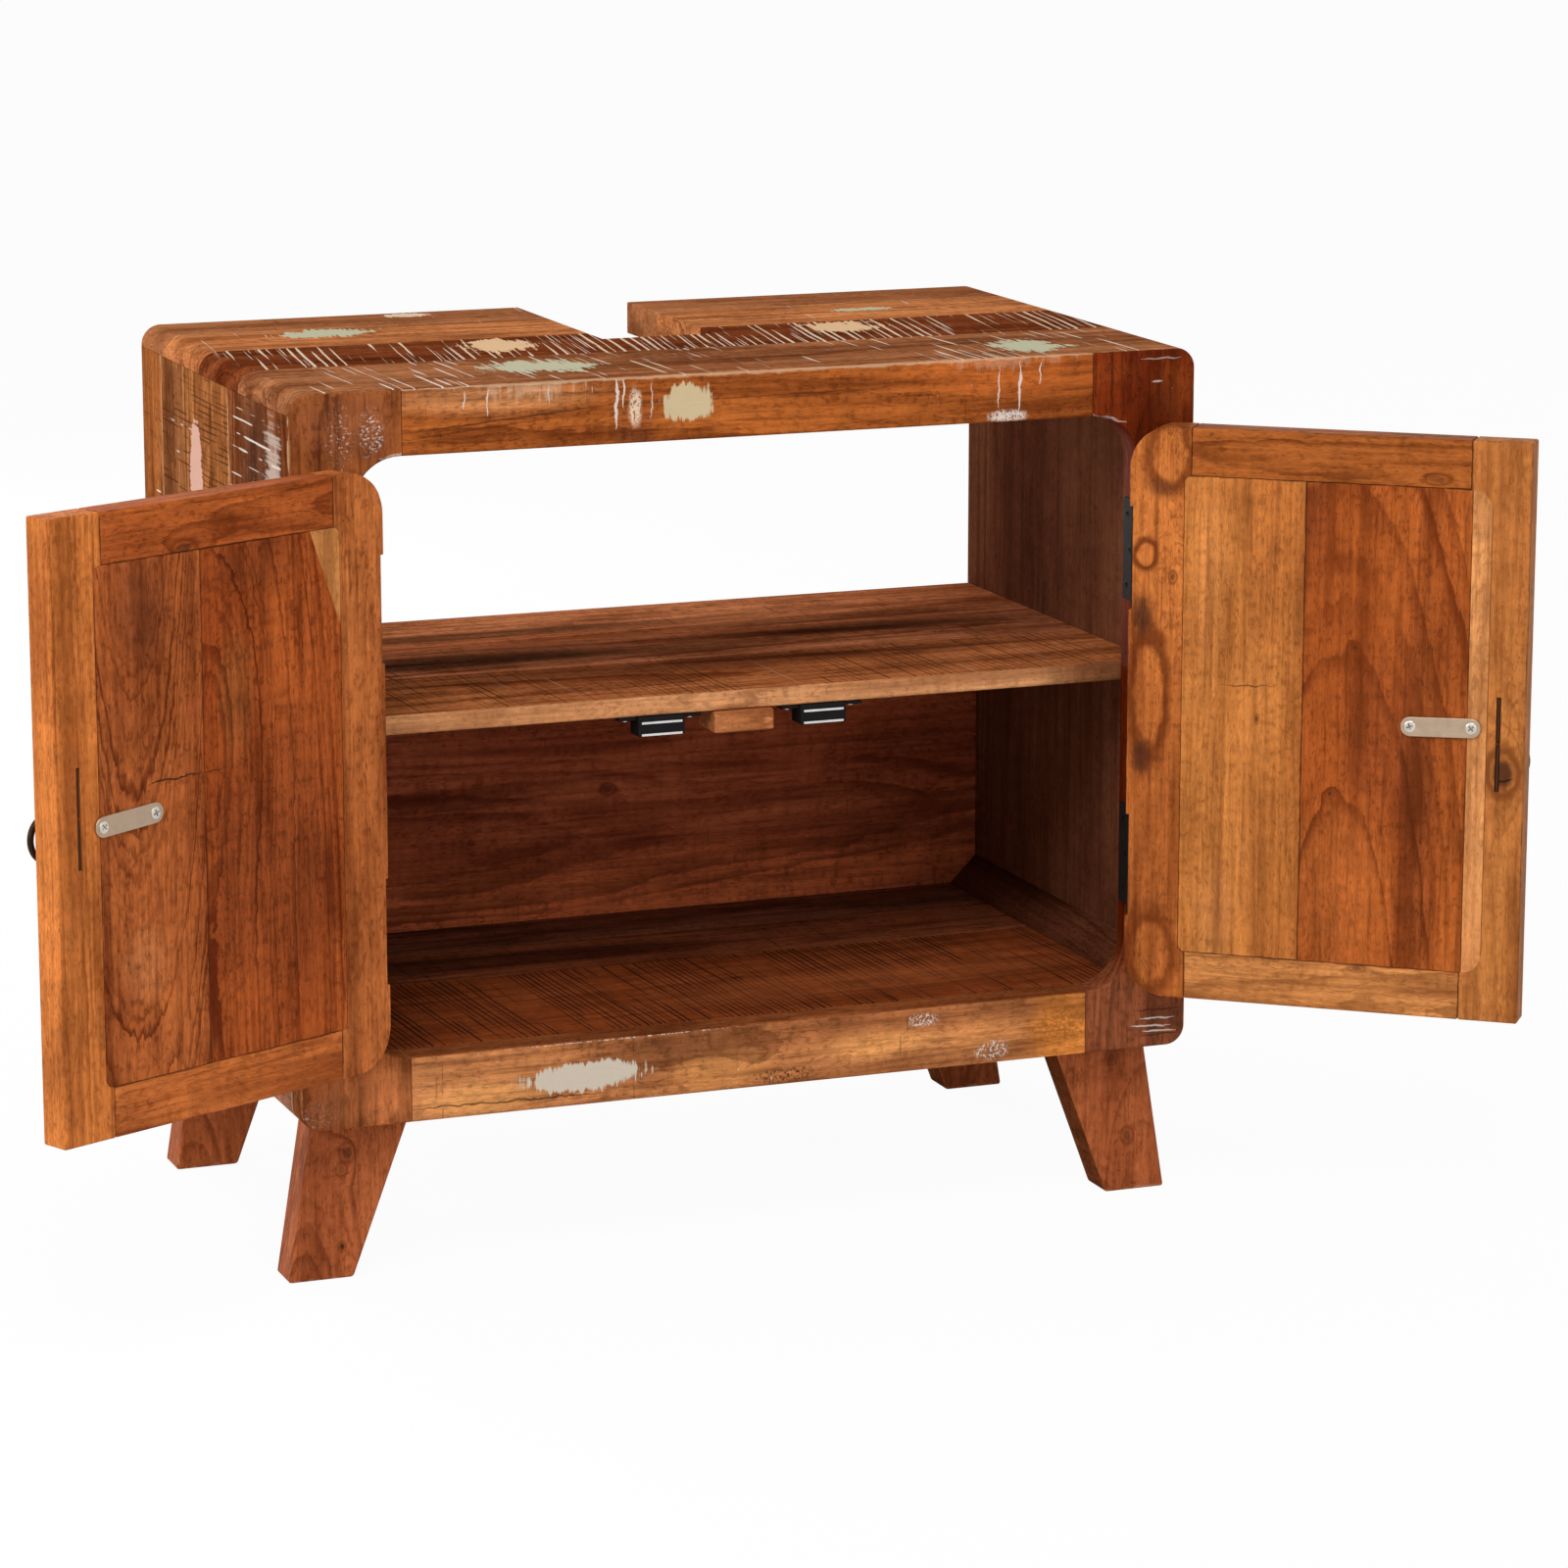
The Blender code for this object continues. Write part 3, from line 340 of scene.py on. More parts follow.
def make_acacia():
    """Figured wood: growth rings round a leaning trunk, fibres, pores and slow colour drift."""
    tree, given = new_group(
        "acacia",
        {
            "Board": "vector", "Seed": "value", "Light": "colour", "Middle": "colour", "Dark": "colour",
            "Ring width": "value", "Trunk across": "value", "Trunk depth": "value", "Lean": "value",
            "Warp": "value", "Lines": "value", "Knot push": "value",
        },
        {"Colour": "colour", "Height": "value", "Polish": "value"},
    )
    shift = tree.vector("MULTIPLY", given["Seed"], (1.93, 3.71, 5.37))
    seeded = tree.vector("ADD", given["Board"], shift)
    along, across, through = tree.split(given["Board"])
    drift = tree.noise(seeded, (2.6, 13.0, 13.0), 3.0, 0.55)
    blotch = tree.noise(seeded, (9.0, 26.0, 26.0), 3.0, 0.6)
    sway = tree.noise(seeded, (4.5, 20.0, 20.0), 3.0, 0.5)
    ragged = tree.noise(seeded, (45.0, 190.0, 190.0), 3.0, 0.6)
    warp = tree.times(tree.minus(sway, 0.5), given["Warp"])
    warp = tree.plus(warp, tree.times(tree.minus(ragged, 0.5), 0.0035))
    side = tree.minus(across, given["Trunk across"])
    depth = tree.plus(through, given["Trunk depth"])
    depth = tree.math("MULTIPLY_ADD", along, given["Lean"], depth)
    radius = tree.vector("LENGTH", tree.join(side, depth, 0.0))
    radius = tree.plus(tree.plus(radius, warp), given["Knot push"])
    turns = tree.over(radius, given["Ring width"])
    uneven = tree.noise(tree.join(tree.times(turns, 0.55), given["Seed"], 0.0), detail=2.0)
    turns = tree.math("MULTIPLY_ADD", uneven, 2.2, turns)
    tooth = tree.math("FRACT", turns)
    each = tree.math("MULTIPLY_ADD", given["Seed"], 7.0, tree.math("FLOOR", turns))
    weight = tree.ease(tree.chance(each), 0.1, 1.0, 0.12, 1.0)
    line = tree.times(tree.ease(tooth, 0.30, 0.90), tree.ease(tooth, 0.90, 1.0, 1.0, 0.0))
    line = tree.times(line, weight)
    broken = tree.ease(blotch, 0.30, 0.62, 0.35, 1.0)
    line = tree.times(tree.times(line, broken), given["Lines"])
    fibre = tree.noise(seeded, (15.0, 360.0, 360.0), 4.0, 0.62)
    streak = tree.noise(seeded, (4.0, 75.0, 75.0), 3.0, 0.55)
    flow = tree.math("MULTIPLY_ADD", warp, 4.0, given["Knot push"])
    flowing = tree.vector("ADD", seeded, tree.join(0.0, flow, 0.0))
    pore_noise = tree.noise(flowing, (170.0, 640.0, 640.0), 2.0, 0.6)
    pore = tree.times(tree.ease(pore_noise, 0.50, 0.66), tree.ease(blotch, 0.30, 0.65, 0.55, 1.0))
    curl = tree.noise(seeded, (75.0, 24.0, 24.0), 2.0)
    colour = tree.blend(tree.ease(drift, 0.32, 0.68), given["Light"], given["Middle"])
    colour = tree.blend(tree.ease(blotch, 0.45, 0.76, 0.0, 0.58), colour, given["Dark"])
    colour = tree.blend(tree.ease(streak, 0.45, 0.71, 0.0, 0.58), colour, given["Dark"])
    colour = tree.blend(line, colour, given["Dark"])
    colour = tree.blend(tree.ease(fibre, 0.44, 0.76, 0.0, 0.62), colour, given["Dark"])
    colour = tree.blend(tree.times(pore, 0.58), colour, given["Dark"])
    shimmer = tree.plus(tree.ease(curl, 0.25, 0.75, 0.92, 1.08), tree.ease(fibre, 0.2, 0.5, 0.16, 0.0))
    shimmer = tree.plus(shimmer, tree.ease(pore_noise, 0.34, 0.46, 0.14, 0.0))
    colour = tree.vector("MULTIPLY", colour, shimmer)
    height = tree.math("MULTIPLY_ADD", pore, -0.6, tree.times(fibre, 0.5))
    height = tree.math("MULTIPLY_ADD", line, -0.25, height)
    polish = tree.plus(tree.ease(fibre, 0.3, 0.7, 0.0, 0.10), tree.times(pore, 0.12))
    return tree.close(Colour=colour, Height=height, Polish=polish)


def make_knot():
    """A knot: how far it pushes the rings aside, its dark heart and its rim."""
    tree, given = new_group(
        "knot", {"Board": "vector", "At": "vector", "Size": "value", "Stretch": "value"},
        {"Push": "value", "Heart": "value", "Rim": "value"},
    )
    along, across, _ = tree.split(tree.vector("SUBTRACT", given["Board"], given["At"]))
    flat = tree.join(tree.over(along, given["Stretch"]), across, 0.0)
    rough = tree.noise(given["Board"], (110.0, 110.0, 110.0), 4.0)
    away = tree.over(tree.vector("LENGTH", flat), given["Size"])
    away = tree.plus(away, tree.times(tree.minus(rough, 0.5), 0.55))
    fall = tree.math("EXPONENT", tree.times(tree.times(away, away), -0.16))
    heart = tree.ease(away, 0.45, 1.0, 1.0, 0.0)
    rim = tree.times(tree.ease(away, 0.75, 1.05), tree.ease(away, 1.1, 1.7, 1.0, 0.0))
    return tree.close(Push=tree.times(tree.times(fall, given["Size"]), -1.6), Heart=heart, Rim=rim)


def make_saw_marks():
    """Lines that a saw left across the grain, each broken along its length."""
    tree, given = new_group(
        "saw_marks",
        {
            "Board": "vector", "Seed": "value", "Spacing": "value", "Slant": "value", "Cover": "value",
            "Length": "value", "Thickness": "value", "Reach": "value",
        },
        {"Mark": "value"},
    )
    along, across, _ = tree.split(given["Board"])
    wander = tree.noise(given["Board"], (20.0, 11.0, 11.0), 2.0)
    place = tree.math("MULTIPLY_ADD", across, given["Slant"], along)
    place = tree.math("MULTIPLY_ADD", tree.minus(wander, 0.5), 0.004, place)
    place = tree.over(place, given["Spacing"])
    each = tree.math("FLOOR", place)
    inside = tree.math("FRACT", place)
    key = tree.math("MULTIPLY_ADD", given["Seed"], 31.7, each)
    centre = tree.ease(tree.chance(key), 0.0, 1.0, 0.3, 0.7)
    width = tree.math("POWER", tree.chance(tree.plus(key, 0.37)), 1.2)
    width = tree.math("MULTIPLY_ADD", width, 0.65, 0.35)
    width = tree.times(width, given["Thickness"])
    run = tree.over(across, given["Length"])
    lay = tree.noise(tree.join(tree.times(key, 7.31), run, given["Seed"]), detail=1.0)
    threshold = tree.minus(0.92, tree.times(given["Cover"], 0.72))
    seeded = tree.vector("ADD", given["Board"], given["Seed"])
    patchy = tree.noise(seeded, (17.0, 6.0, 6.0), 2.0)
    lay = tree.plus(lay, tree.ease(patchy, 0.3, 0.7, -0.17, 0.17))
    there = tree.ease(lay, threshold, tree.plus(threshold, 0.16))
    width = tree.math("MAXIMUM", tree.times(width, there), 0.0001)
    off = tree.math("ABSOLUTE", tree.minus(inside, centre))
    mark = tree.ease(tree.over(off, width), 0.4, 1.0, 1.0, 0.0)
    mark = tree.times(mark, tree.ease(there, 0.0, 0.3))
    inner = tree.minus(given["Reach"], 0.012)
    ends = tree.ease(tree.math("ABSOLUTE", along), inner, given["Reach"], 1.0, 0.0)
    return tree.close(Mark=tree.times(mark, ends))


def make_grit():
    """Noises that a board's marks share: a comb across the grain, lumps, flecks and a crooked shift."""
    tree, given = new_group(
        "grit", {"Board": "vector", "Slant": "value", "Seed": "value"},
        {"Comb": "value", "Lumps": "value", "Flecks": "value", "Bend": "vector"},
    )
    along, across, through = tree.split(given["Board"])
    along = tree.math("MULTIPLY_ADD", across, given["Slant"], along)
    place = tree.join(along, across, tree.plus(through, given["Seed"]))
    comb = tree.noise(place, (430.0, 16.0, 16.0), 2.0, 0.6)
    lumps = tree.noise(place, (70.0, 70.0, 70.0), 3.0, 0.6)
    flecks = tree.noise(place, (620.0, 480.0, 480.0), 3.0, 0.75)
    bend = tree.put("ShaderNodeTexNoise", {"Vector": place, "Scale": 130.0, "Detail": 3.0})
    return tree.close(
        Comb=comb, Lumps=lumps, Flecks=flecks,
        Bend=tree.vector("SUBTRACT", bend.outputs["Color"], (0.5, 0.5, 0.5)),
    )


def make_paint_patch():
    """What is left of old paint: a ragged oval, combed across the grain, whole or in flecks."""
    tree, given = new_group(
        "paint_patch",
        {
            "Board": "vector", "At": "vector", "Half": "vector", "Ragged": "value", "Soft": "value",
            "Broken": "value", "Slant": "value", "Comb": "value", "Lumps": "value", "Flecks": "value",
        },
        {"Mask": "value"},
    )
    along, across, _ = tree.split(tree.vector("SUBTRACT", given["Board"], given["At"]))
    along = tree.math("MULTIPLY_ADD", across, given["Slant"], along)
    scaled = tree.vector("DIVIDE", tree.join(along, across, 0.0), given["Half"])
    edge = tree.math("MULTIPLY_ADD", given["Comb"], 1.2, given["Lumps"])
    edge = tree.times(tree.minus(edge, 1.1), given["Ragged"])
    away = tree.plus(tree.vector("LENGTH", scaled), edge)
    low = tree.minus(1.0, given["Soft"])
    high = tree.plus(1.0, given["Soft"])
    mask = tree.ease(away, low, high, 1.0, 0.0)
    gone = tree.minus(given["Broken"], 0.06)
    kept = tree.ease(given["Flecks"], gone, tree.plus(given["Broken"], 0.06))
    return tree.close(Mask=tree.times(mask, kept))


def make_crack():
    """A thin line from one point to another, tapered and a little crooked."""
    tree, given = new_group(
        "crack",
        {
            "Board": "vector", "Start": "vector", "Run": "vector", "Thickness": "value", "Crooked": "value",
            "Bend": "vector",
        },
        {"Mask": "value"},
    )
    bend = tree.vector("MULTIPLY", given["Bend"], given["Crooked"])
    place = tree.vector("ADD", tree.vector("SUBTRACT", given["Board"], given["Start"]), bend)
    place = tree.vector("MULTIPLY", place, (1.0, 1.0, 0.0))
    dot = tree.put(
        "ShaderNodeVectorMath", {0: place, 1: given["Run"]}, operation="DOT_PRODUCT",
    ).outputs["Value"]
    square = tree.put("ShaderNodeVectorMath", {0: given["Run"], 1: given["Run"]}, operation="DOT_PRODUCT")
    part = tree.over(dot, square.outputs["Value"])
    part = tree.math("MINIMUM", tree.math("MAXIMUM", part, 0.0), 1.0)
    nearest = tree.vector("MULTIPLY", given["Run"], part)
    away = tree.vector("LENGTH", tree.vector("SUBTRACT", place, nearest))
    ends = tree.times(tree.ease(part, 0.0, 0.3, 0.3, 1.0), tree.ease(part, 0.7, 1.0, 1.0, 0.3))
    width = tree.times(given["Thickness"], ends)
    return tree.close(Mask=tree.ease(tree.over(away, width), 0.3, 0.7, 1.0, 0.0))


def make_arris_wear():
    """Where a board's edges are rubbed: near two of its faces at once, and broken by noise."""
    tree, given = new_group(
        "arris_wear", {"Board": "vector", "Half": "vector", "Reach": "value", "Seed": "value"},
        {"Mask": "value"},
    )
    inwards = tree.vector("SUBTRACT", given["Half"], tree.vector("ABSOLUTE", given["Board"]))
    first, second, third = tree.split(inwards)
    nearer = tree.math("MINIMUM", first, second)
    farther = tree.math("MAXIMUM", first, second)
    edge = tree.math("MAXIMUM", nearer, tree.math("MINIMUM", farther, third))
    seeded = tree.vector("ADD", given["Board"], given["Seed"])
    patchy = tree.noise(seeded, (38.0, 90.0, 90.0), 4.0, 0.65)
    reach = tree.times(given["Reach"], tree.ease(patchy, 0.35, 0.65, 0.05, 1.0))
    away = tree.over(edge, tree.math("MAXIMUM", reach, 0.00005))
    return tree.close(Mask=tree.ease(away, 0.5, 1.0, 1.0, 0.0))


ACACIA = make_acacia()
KNOT = make_knot()
SAW_MARKS = make_saw_marks()
GRIT = make_grit()
PAINT_PATCH = make_paint_patch()
CRACK = make_crack()
ARRIS_WEAR = make_arris_wear()


class Board:
    """A board's own axes: along the grain, across it and through it, from the board's middle."""

    def __init__(self, place, low, high, grain):
        along, across = AXES[grain[0]], AXES[grain[1]]
        turn = Matrix((along, across, along.cross(across))).transposed().to_4x4()
        low, high = Vector(low), Vector(high)
        self.axes = Matrix.Translation((low + high) / 2) @ turn
        size = turn.inverted() @ ((high - low) / 2)
        self.half = Vector([abs(length) for length in size])
        self.from_object = (place @ self.axes).inverted()

    def spot(self, point):
        """A point of the carcass or the door in the board's axes."""
        return self.axes.inverted() @ Vector(point)

    def reach(self, lengths):
        """Lengths along the carcass or door axes as lengths along, across and through the board."""
        size = self.axes.to_3x3().inverted() @ Vector(lengths)
        return Vector([max(abs(length), SMALLEST_HALF) for length in size])


def shades(tone, contrast=1.0):
    """Light, middle and dark colour of a wood, from its mean tone."""
    light = [channel * (1.0 + contrast * lift) for channel, lift in zip(tone, (0.62, 0.82, 0.95))]
    middle = [channel * (1.0 + contrast * lift) for channel, lift in zip(tone, (0.16, 0.14, 0.12))]
    dark = [channel * (1.0 - contrast * drop) for channel, drop in zip(tone, (0.68, 0.79, 0.85))]
    return rgb(light), rgb(middle), rgb(dark)


class Finish:
    """One wood material under way: its colour, height and roughness so far."""

    def __init__(self, name, board, seed, slant):
        self.board = board
        self.material = bpy.data.materials.new(name)
        self.material.use_nodes = True
        self.tree = Tree(self.material.node_tree)
        self.shader = self.material.node_tree.nodes["Principled BSDF"]
        inverse = board.from_object
        placed = self.tree.put("ShaderNodeTexCoord").outputs["Object"]
        mapping = {"Vector": placed, "Location": inverse.translation, "Rotation": inverse.to_euler()}
        self.vector = self.tree.put("ShaderNodeMapping", mapping, vector_type="POINT").outputs["Vector"]
        self.grit = self.tree.group(GRIT, board=self.vector, slant=slant, seed=seed)
        self.slant = slant
        self.colour = None
        self.grain = None
        self.height = None
        self.rough = None

    def cover(self, mask, tone, strength=1.0, rough=None):
        """Lays a colour over the wood where the mask is."""
        if strength < 1.0:
            mask = self.tree.times(mask, strength)
        self.colour = self.tree.blend(mask, self.colour, rgb(tone))
        if rough is not None:
            change = self.tree.times(mask, self.tree.minus(rough, self.rough))
            self.rough = self.tree.plus(self.rough, change)

    def tint(self, mask, tone, strength):
        """Turns the wood to another tone where the mask is, and keeps its grain."""
        mask = self.tree.times(mask, strength)
        grained = self.tree.vector("MULTIPLY", tone, self.grain)
        self.colour = self.tree.blend(mask, self.colour, grained)

    def one_face(self, mask, face):
        """Keeps the mask on one of the board's two broad faces."""
        if face == 0:
            return mask
        through = self.tree.split(self.vector)[2]
        side = self.tree.times(through, float(face))
        surface = self.board.half.z
        return self.tree.times(
            mask, self.tree.ease(side, surface - FACE_FADE_START, surface - FACE_FADE_END),
        )


def knot(point, size, stretch=1.5, depth=0.8, rim=0.6):
    return ("knot", point, size, stretch, depth, rim)


def patch(point, half, tone, ragged=0.5, soft=0.05, broken=0.0, strength=1.0, face=0):
    return ("patch", point, half, tone, ragged, soft, broken, strength, face)


def stain(point, half, tone, strength=0.6, soft=0.55, face=0):
    return ("stain", point, half, tone, STAIN_RAGGED, soft, 0.0, strength, face)


def flecks(point, half, tone=WHITE_WASH, broken=0.56, strength=0.9):
    return ("patch", point, half, tone, FLECK_RAGGED, FLECK_SOFT, broken, strength, 0)


def saw(tone, strength, spacing, cover, length=0.035, thickness=0.22, seed=0.0, face=0):
    return ("saw", tone, strength, spacing, cover, length, thickness, seed, face)


def crack(start, end, thickness=0.0009, tone=BLACK_LINE, strength=0.95, crooked=0.004):
    return ("crack", start, end, thickness, tone, strength, crooked)


def worn_line(start, end, thickness=0.0034, strength=0.65, tone=WORN_WOOD):
    return ("crack", start, end, thickness, tone, strength, WORN_CROOKED)


def wear(strength=0.7, reach=0.003, tone=WORN_WOOD):
    return ("wear", strength, reach, tone)


def lay_feature(finish, feature, seed):
    kind, *rest = feature
    board, tree = finish.board, finish.tree
    if kind in ("patch", "stain"):
        point, half, tone, ragged, soft, broken, strength, face = rest
        mask = tree.group(
            PAINT_PATCH, board=finish.vector, at=board.spot(point), half=board.reach(half), ragged=ragged,
            soft=soft, broken=broken, slant=finish.slant, comb=finish.grit["Comb"],
            lumps=finish.grit["Lumps"], flecks=finish.grit["Flecks"],
        )["Mask"]
        mask = finish.one_face(mask, face)
        if kind == "stain":
            finish.tint(mask, tone, strength)
        else:
            finish.cover(mask, tone, strength, rough=PAINT_ROUGHNESS)
    elif kind == "saw":
        tone, strength, spacing, cover, length, thickness, saw_seed, face = rest
        mark = tree.group(
            SAW_MARKS, board=finish.vector, seed=seed + saw_seed, spacing=spacing, slant=finish.slant,
            cover=cover, length=length, thickness=thickness, reach=board.half.x - SAW_END_MARGIN,
        )["Mark"]
        finish.cover(finish.one_face(mark, face), tone, strength, rough=SAWN_ROUGHNESS)
    elif kind == "crack":
        start, end, thickness, tone, strength, crooked = rest
        first = board.spot(start)
        run = board.spot(end) - first
        run.z = 0.0
        mask = tree.group(
            CRACK, board=finish.vector, start=first, run=run, thickness=thickness, crooked=crooked,
            bend=finish.grit["Bend"],
        )["Mask"]
        finish.cover(mask, tone, strength)
    elif kind == "wear":
        strength, reach, tone = rest
        mask = tree.group(ARRIS_WEAR, board=finish.vector, half=board.half, reach=reach, seed=seed)["Mask"]
        finish.cover(mask, tone, strength, rough=WORN_ROUGHNESS)


def wood(
    name, board, tone, seed, features=(), contrast=1.0, rings=0.0045, trunk=(0.0, 0.06), lean=0.05,
    warp=0.012, lines=0.75, rough=0.46, slant=0.0, shine=0.04,
):
    """A procedural wood for one board, with the marks that this board carries."""
    finish = Finish(name, board, seed, slant)
    tree = finish.tree
    push = 0.0
    hearts = []
    for feature in features:
        if feature[0] != "knot":
            continue
        _, point, size, stretch, depth, rim = feature
        made = tree.group(KNOT, board=finish.vector, at=board.spot(point), size=size, stretch=stretch)
        push = tree.plus(push, made["Push"])
        hearts.append((made["Heart"], made["Rim"], depth, rim))
    light, middle, dark = shades(tone, contrast)
    made = tree.group(
        ACACIA, board=finish.vector, seed=seed, light=light, middle=middle, dark=dark, ring_width=rings,
        trunk_across=trunk[0], trunk_depth=trunk[1], lean=lean, warp=warp, lines=lines, knot_push=push,
    )
    finish.colour, finish.height = made["Colour"], made["Height"]
    relative = tree.over(tree.split(made["Colour"])[0], tone[0])
    finish.grain = tree.math("MINIMUM", relative, GRAIN_LIMIT)
    finish.rough = tree.plus(made["Polish"], rough)
    for heart, ring, depth, rim in hearts:
        finish.cover(ring, dark[:3], rim)
        finish.cover(heart, DARK_WOOD, depth)
    for feature in features:
        if feature[0] != "knot":
            lay_feature(finish, feature, seed)
    bump = tree.put(
        "ShaderNodeBump", {"Height": finish.height, "Strength": GRAIN_STRENGTH, "Distance": GRAIN_HEIGHT},
    )
    tree.feed(finish.shader.inputs["Base Color"], finish.colour)
    tree.feed(finish.shader.inputs["Roughness"], finish.rough)
    tree.feed(finish.shader.inputs["Normal"], bump.outputs["Normal"])
    finish.shader.inputs["Specular IOR Level"].default_value = shine
    return finish.material


def slab(axis, outline, start, end):
    """A slab from a few outline points, drawn out along an axis."""
    bm = bmesh.new()
    corners = []
    for pair in outline:
        point = list(pair)
        point.insert("XYZ".index(axis), start)
        corners.append(bm.verts.new(point))
    face = bm.faces.new(corners)
    grown = bmesh.ops.extrude_face_region(bm, geom=[face])
    raised = [item for item in grown["geom"] if isinstance(item, bmesh.types.BMVert)]
    bmesh.ops.translate(bm, verts=raised, vec=AXES[axis] * (end - start))
    bmesh.ops.recalc_face_normals(bm, faces=bm.faces)
    return bm


def rectangle(x_low, x_high, y_low, y_high):
    return [(x_low, y_low), (x_high, y_low), (x_high, y_high), (x_low, y_high)]


def box(low, high):
    """A board's box, as a slab along Z."""
    return slab("Z", rectangle(low[0], high[0], low[1], high[1]), low[2], high[2])


def bevel(bm, edges, width, steps):
    bmesh.ops.bevel(
        bm, geom=edges, offset=width, offset_type="OFFSET", segments=steps, profile=0.5, affect="EDGES",
        clamp_overlap=True, material=-1,
    )


def round_corner(bm, axis, corner, radius):
    """Rounds the edge along an axis that passes through a corner of the outline."""
    others = [i for i, letter in enumerate("XYZ") if letter != axis]
    chosen = []
    for edge in bm.edges:
        ends = [vertex.co for vertex in edge.verts]
        if all(abs(end[i] - at) < NEAR for end in ends for i, at in zip(others, corner)):
            chosen.append(edge)
    bevel(bm, chosen, radius, ROUND_STEPS)


def soften(bm, width, test=None):
    """Eases the sharp edges, or those whose middle passes the test."""
    edges = [edge for edge in bm.edges if edge.calc_face_angle(0.0) > SHARP_ANGLE]
    if test:
        edges = [edge for edge in edges if test((edge.verts[0].co + edge.verts[1].co) / 2)]
    bevel(bm, edges, width, ARRIS_STEPS)
    return bm


def is_between(value, low, high):
    return low + NEAR < value < high - NEAR


def everywhere(face):
    return True


def faces_up(face):
    return face.normal.z > FACING


def plain(bm, material):
    """One part of a piece, all in one material."""
    return (bm, [(material, everywhere)])


def add_piece(name, place, body, nodes, parts):
    """One piece from several bmeshes, each with coats: pairs of a material and a test of its faces."""
    materials = []
    total = bmesh.new()
    for bm, coats in parts:
        for material, test in coats:
            if material not in materials:
                materials.append(material)
            for face in bm.faces:
                if test(face):
                    face.material_index = materials.index(material)
        scrap = bpy.data.meshes.new("scrap")
        bm.to_mesh(scrap)
        bm.free()
        total.from_mesh(scrap)
        bpy.data.meshes.remove(scrap)
    mesh = bpy.data.meshes.new(name)
    total.to_mesh(mesh)
    total.free()
    mesh.transform(place)
    for material in materials:
        mesh.materials.append(material)
    mesh.shade_smooth()
    mesh.set_sharp_from_angle(angle=SMOOTH_ANGLE)
    piece = bpy.data.objects.new(name, mesh)
    bpy.context.scene.collection.objects.link(piece)
    even = piece.modifiers.new("even_faces", "WEIGHTED_NORMAL")
    even.keep_sharp = True
    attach(piece, body)
    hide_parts(*nodes)


def add_carcass_piece(name, slot, node, *parts):
    add_piece(name, CARCASS, "carcass", [node], parts)


# Woods of the top. The slants are those of the saw lines on its planks, from the front, and inside.
TOP_SLANTS = (0.02, -0.15, -0.10, -0.10)
INSIDE_SLANT = 0.04
TOP_BANDS = (FRONT_Y, *TOP_JOINTS, BACK_Y)
TOP_BOARDS = [
    Board(CARCASS, (-HALF_WIDTH, front, TOP_Z - TOP_THICKNESS), (HALF_WIDTH, back, TOP_Z), "XY")
    for front, back in zip(TOP_BANDS, TOP_BANDS[1:])
]


def top_spot(x, y):
    return (x, y, TOP_Z)


TOP_WOODS = [
    wood("top_front_plank", TOP_BOARDS[0], (0.308, 0.112, 0.0440), 1.3, [
        stain(top_spot(0.05, -0.10), (0.20, 0.03, 0.0), (0.20, 0.06, 0.022), 0.5),
        saw(WHITE_WASH, 0.95, 0.0080, 0.52, 0.055, 0.18, 0.1),
        saw(CREAM, 0.9, 0.0130, 0.46, 0.050, 0.12, 0.5),
        saw(DARK_WOOD, 0.6, 0.0052, 0.45, 0.040, 0.16, 0.9),
        patch(top_spot(-0.118, -0.110), (0.034, 0.024, 0.0), PALE_GREEN, 1.7),
        patch(top_spot(0.203, -0.130), (0.022, 0.026, 0.0), PALE_GREEN, 1.5),
        worn_line(top_spot(-0.29, FRONT_Y), top_spot(0.29, FRONT_Y)),
    ], slant=TOP_SLANTS[0], shine=0.0, rings=0.006, lean=0.03, trunk=(0.02, 0.05)),
    wood("top_dark_plank", TOP_BOARDS[1], (0.175, 0.042, 0.0130), 2.7, [
        saw(CREAM, 0.97, 0.0068, 0.68, 0.200, 0.22, 0.2),
        saw(WHITE_WASH, 0.85, 0.0046, 0.46, 0.100, 0.14, 0.6),
        saw(DARK_WOOD, 0.7, 0.0045, 0.50, 0.03, 0.18, 0.8),
        patch(top_spot(-0.112, -0.006), (0.023, 0.026, 0.0), PEACH, 1.4),
        patch(top_spot(0.126, 0.000), (0.024, 0.022, 0.0), PEACH, 1.6),
    ], slant=TOP_SLANTS[1], shine=0.0, rings=0.005, lean=0.04, trunk=(-0.02, 0.06)),
    wood("top_orange_plank", TOP_BOARDS[2], (0.425, 0.142, 0.0470), 3.9, [
        saw(WHITE_WASH, 0.85, 0.0120, 0.34, 0.060, 0.07, 0.3),
        saw(DARK_WOOD, 0.45, 0.0060, 0.36, 0.03, 0.15, 0.7),
        patch(top_spot(-0.200, 0.090), (0.034, 0.016, 0.0), PALE_GREEN, 1.4),
        patch(top_spot(0.176, 0.081), (0.023, 0.006, 0.0), PALE_GREEN, 1.4),
    ], slant=TOP_SLANTS[2], shine=0.0, rings=0.007, lean=0.03, trunk=(0.03, 0.04)),
    wood("top_back_plank", TOP_BOARDS[3], (0.300, 0.104, 0.0390), 5.1, [
        saw(WHITE_WASH, 0.85, 0.0130, 0.36, 0.050, 0.07, 0.4),
        saw(DARK_WOOD, 0.5, 0.0062, 0.40, 0.03, 0.15, 0.2),
        patch(top_spot(-0.122, 0.160), (0.015, 0.009, 0.0), CREAM, 1.2),
        wear(0.5, 0.003),
    ], slant=TOP_SLANTS[3], shine=0.0, rings=0.006, lean=0.05, trunk=(-0.01, 0.05), contrast=0.75),
]


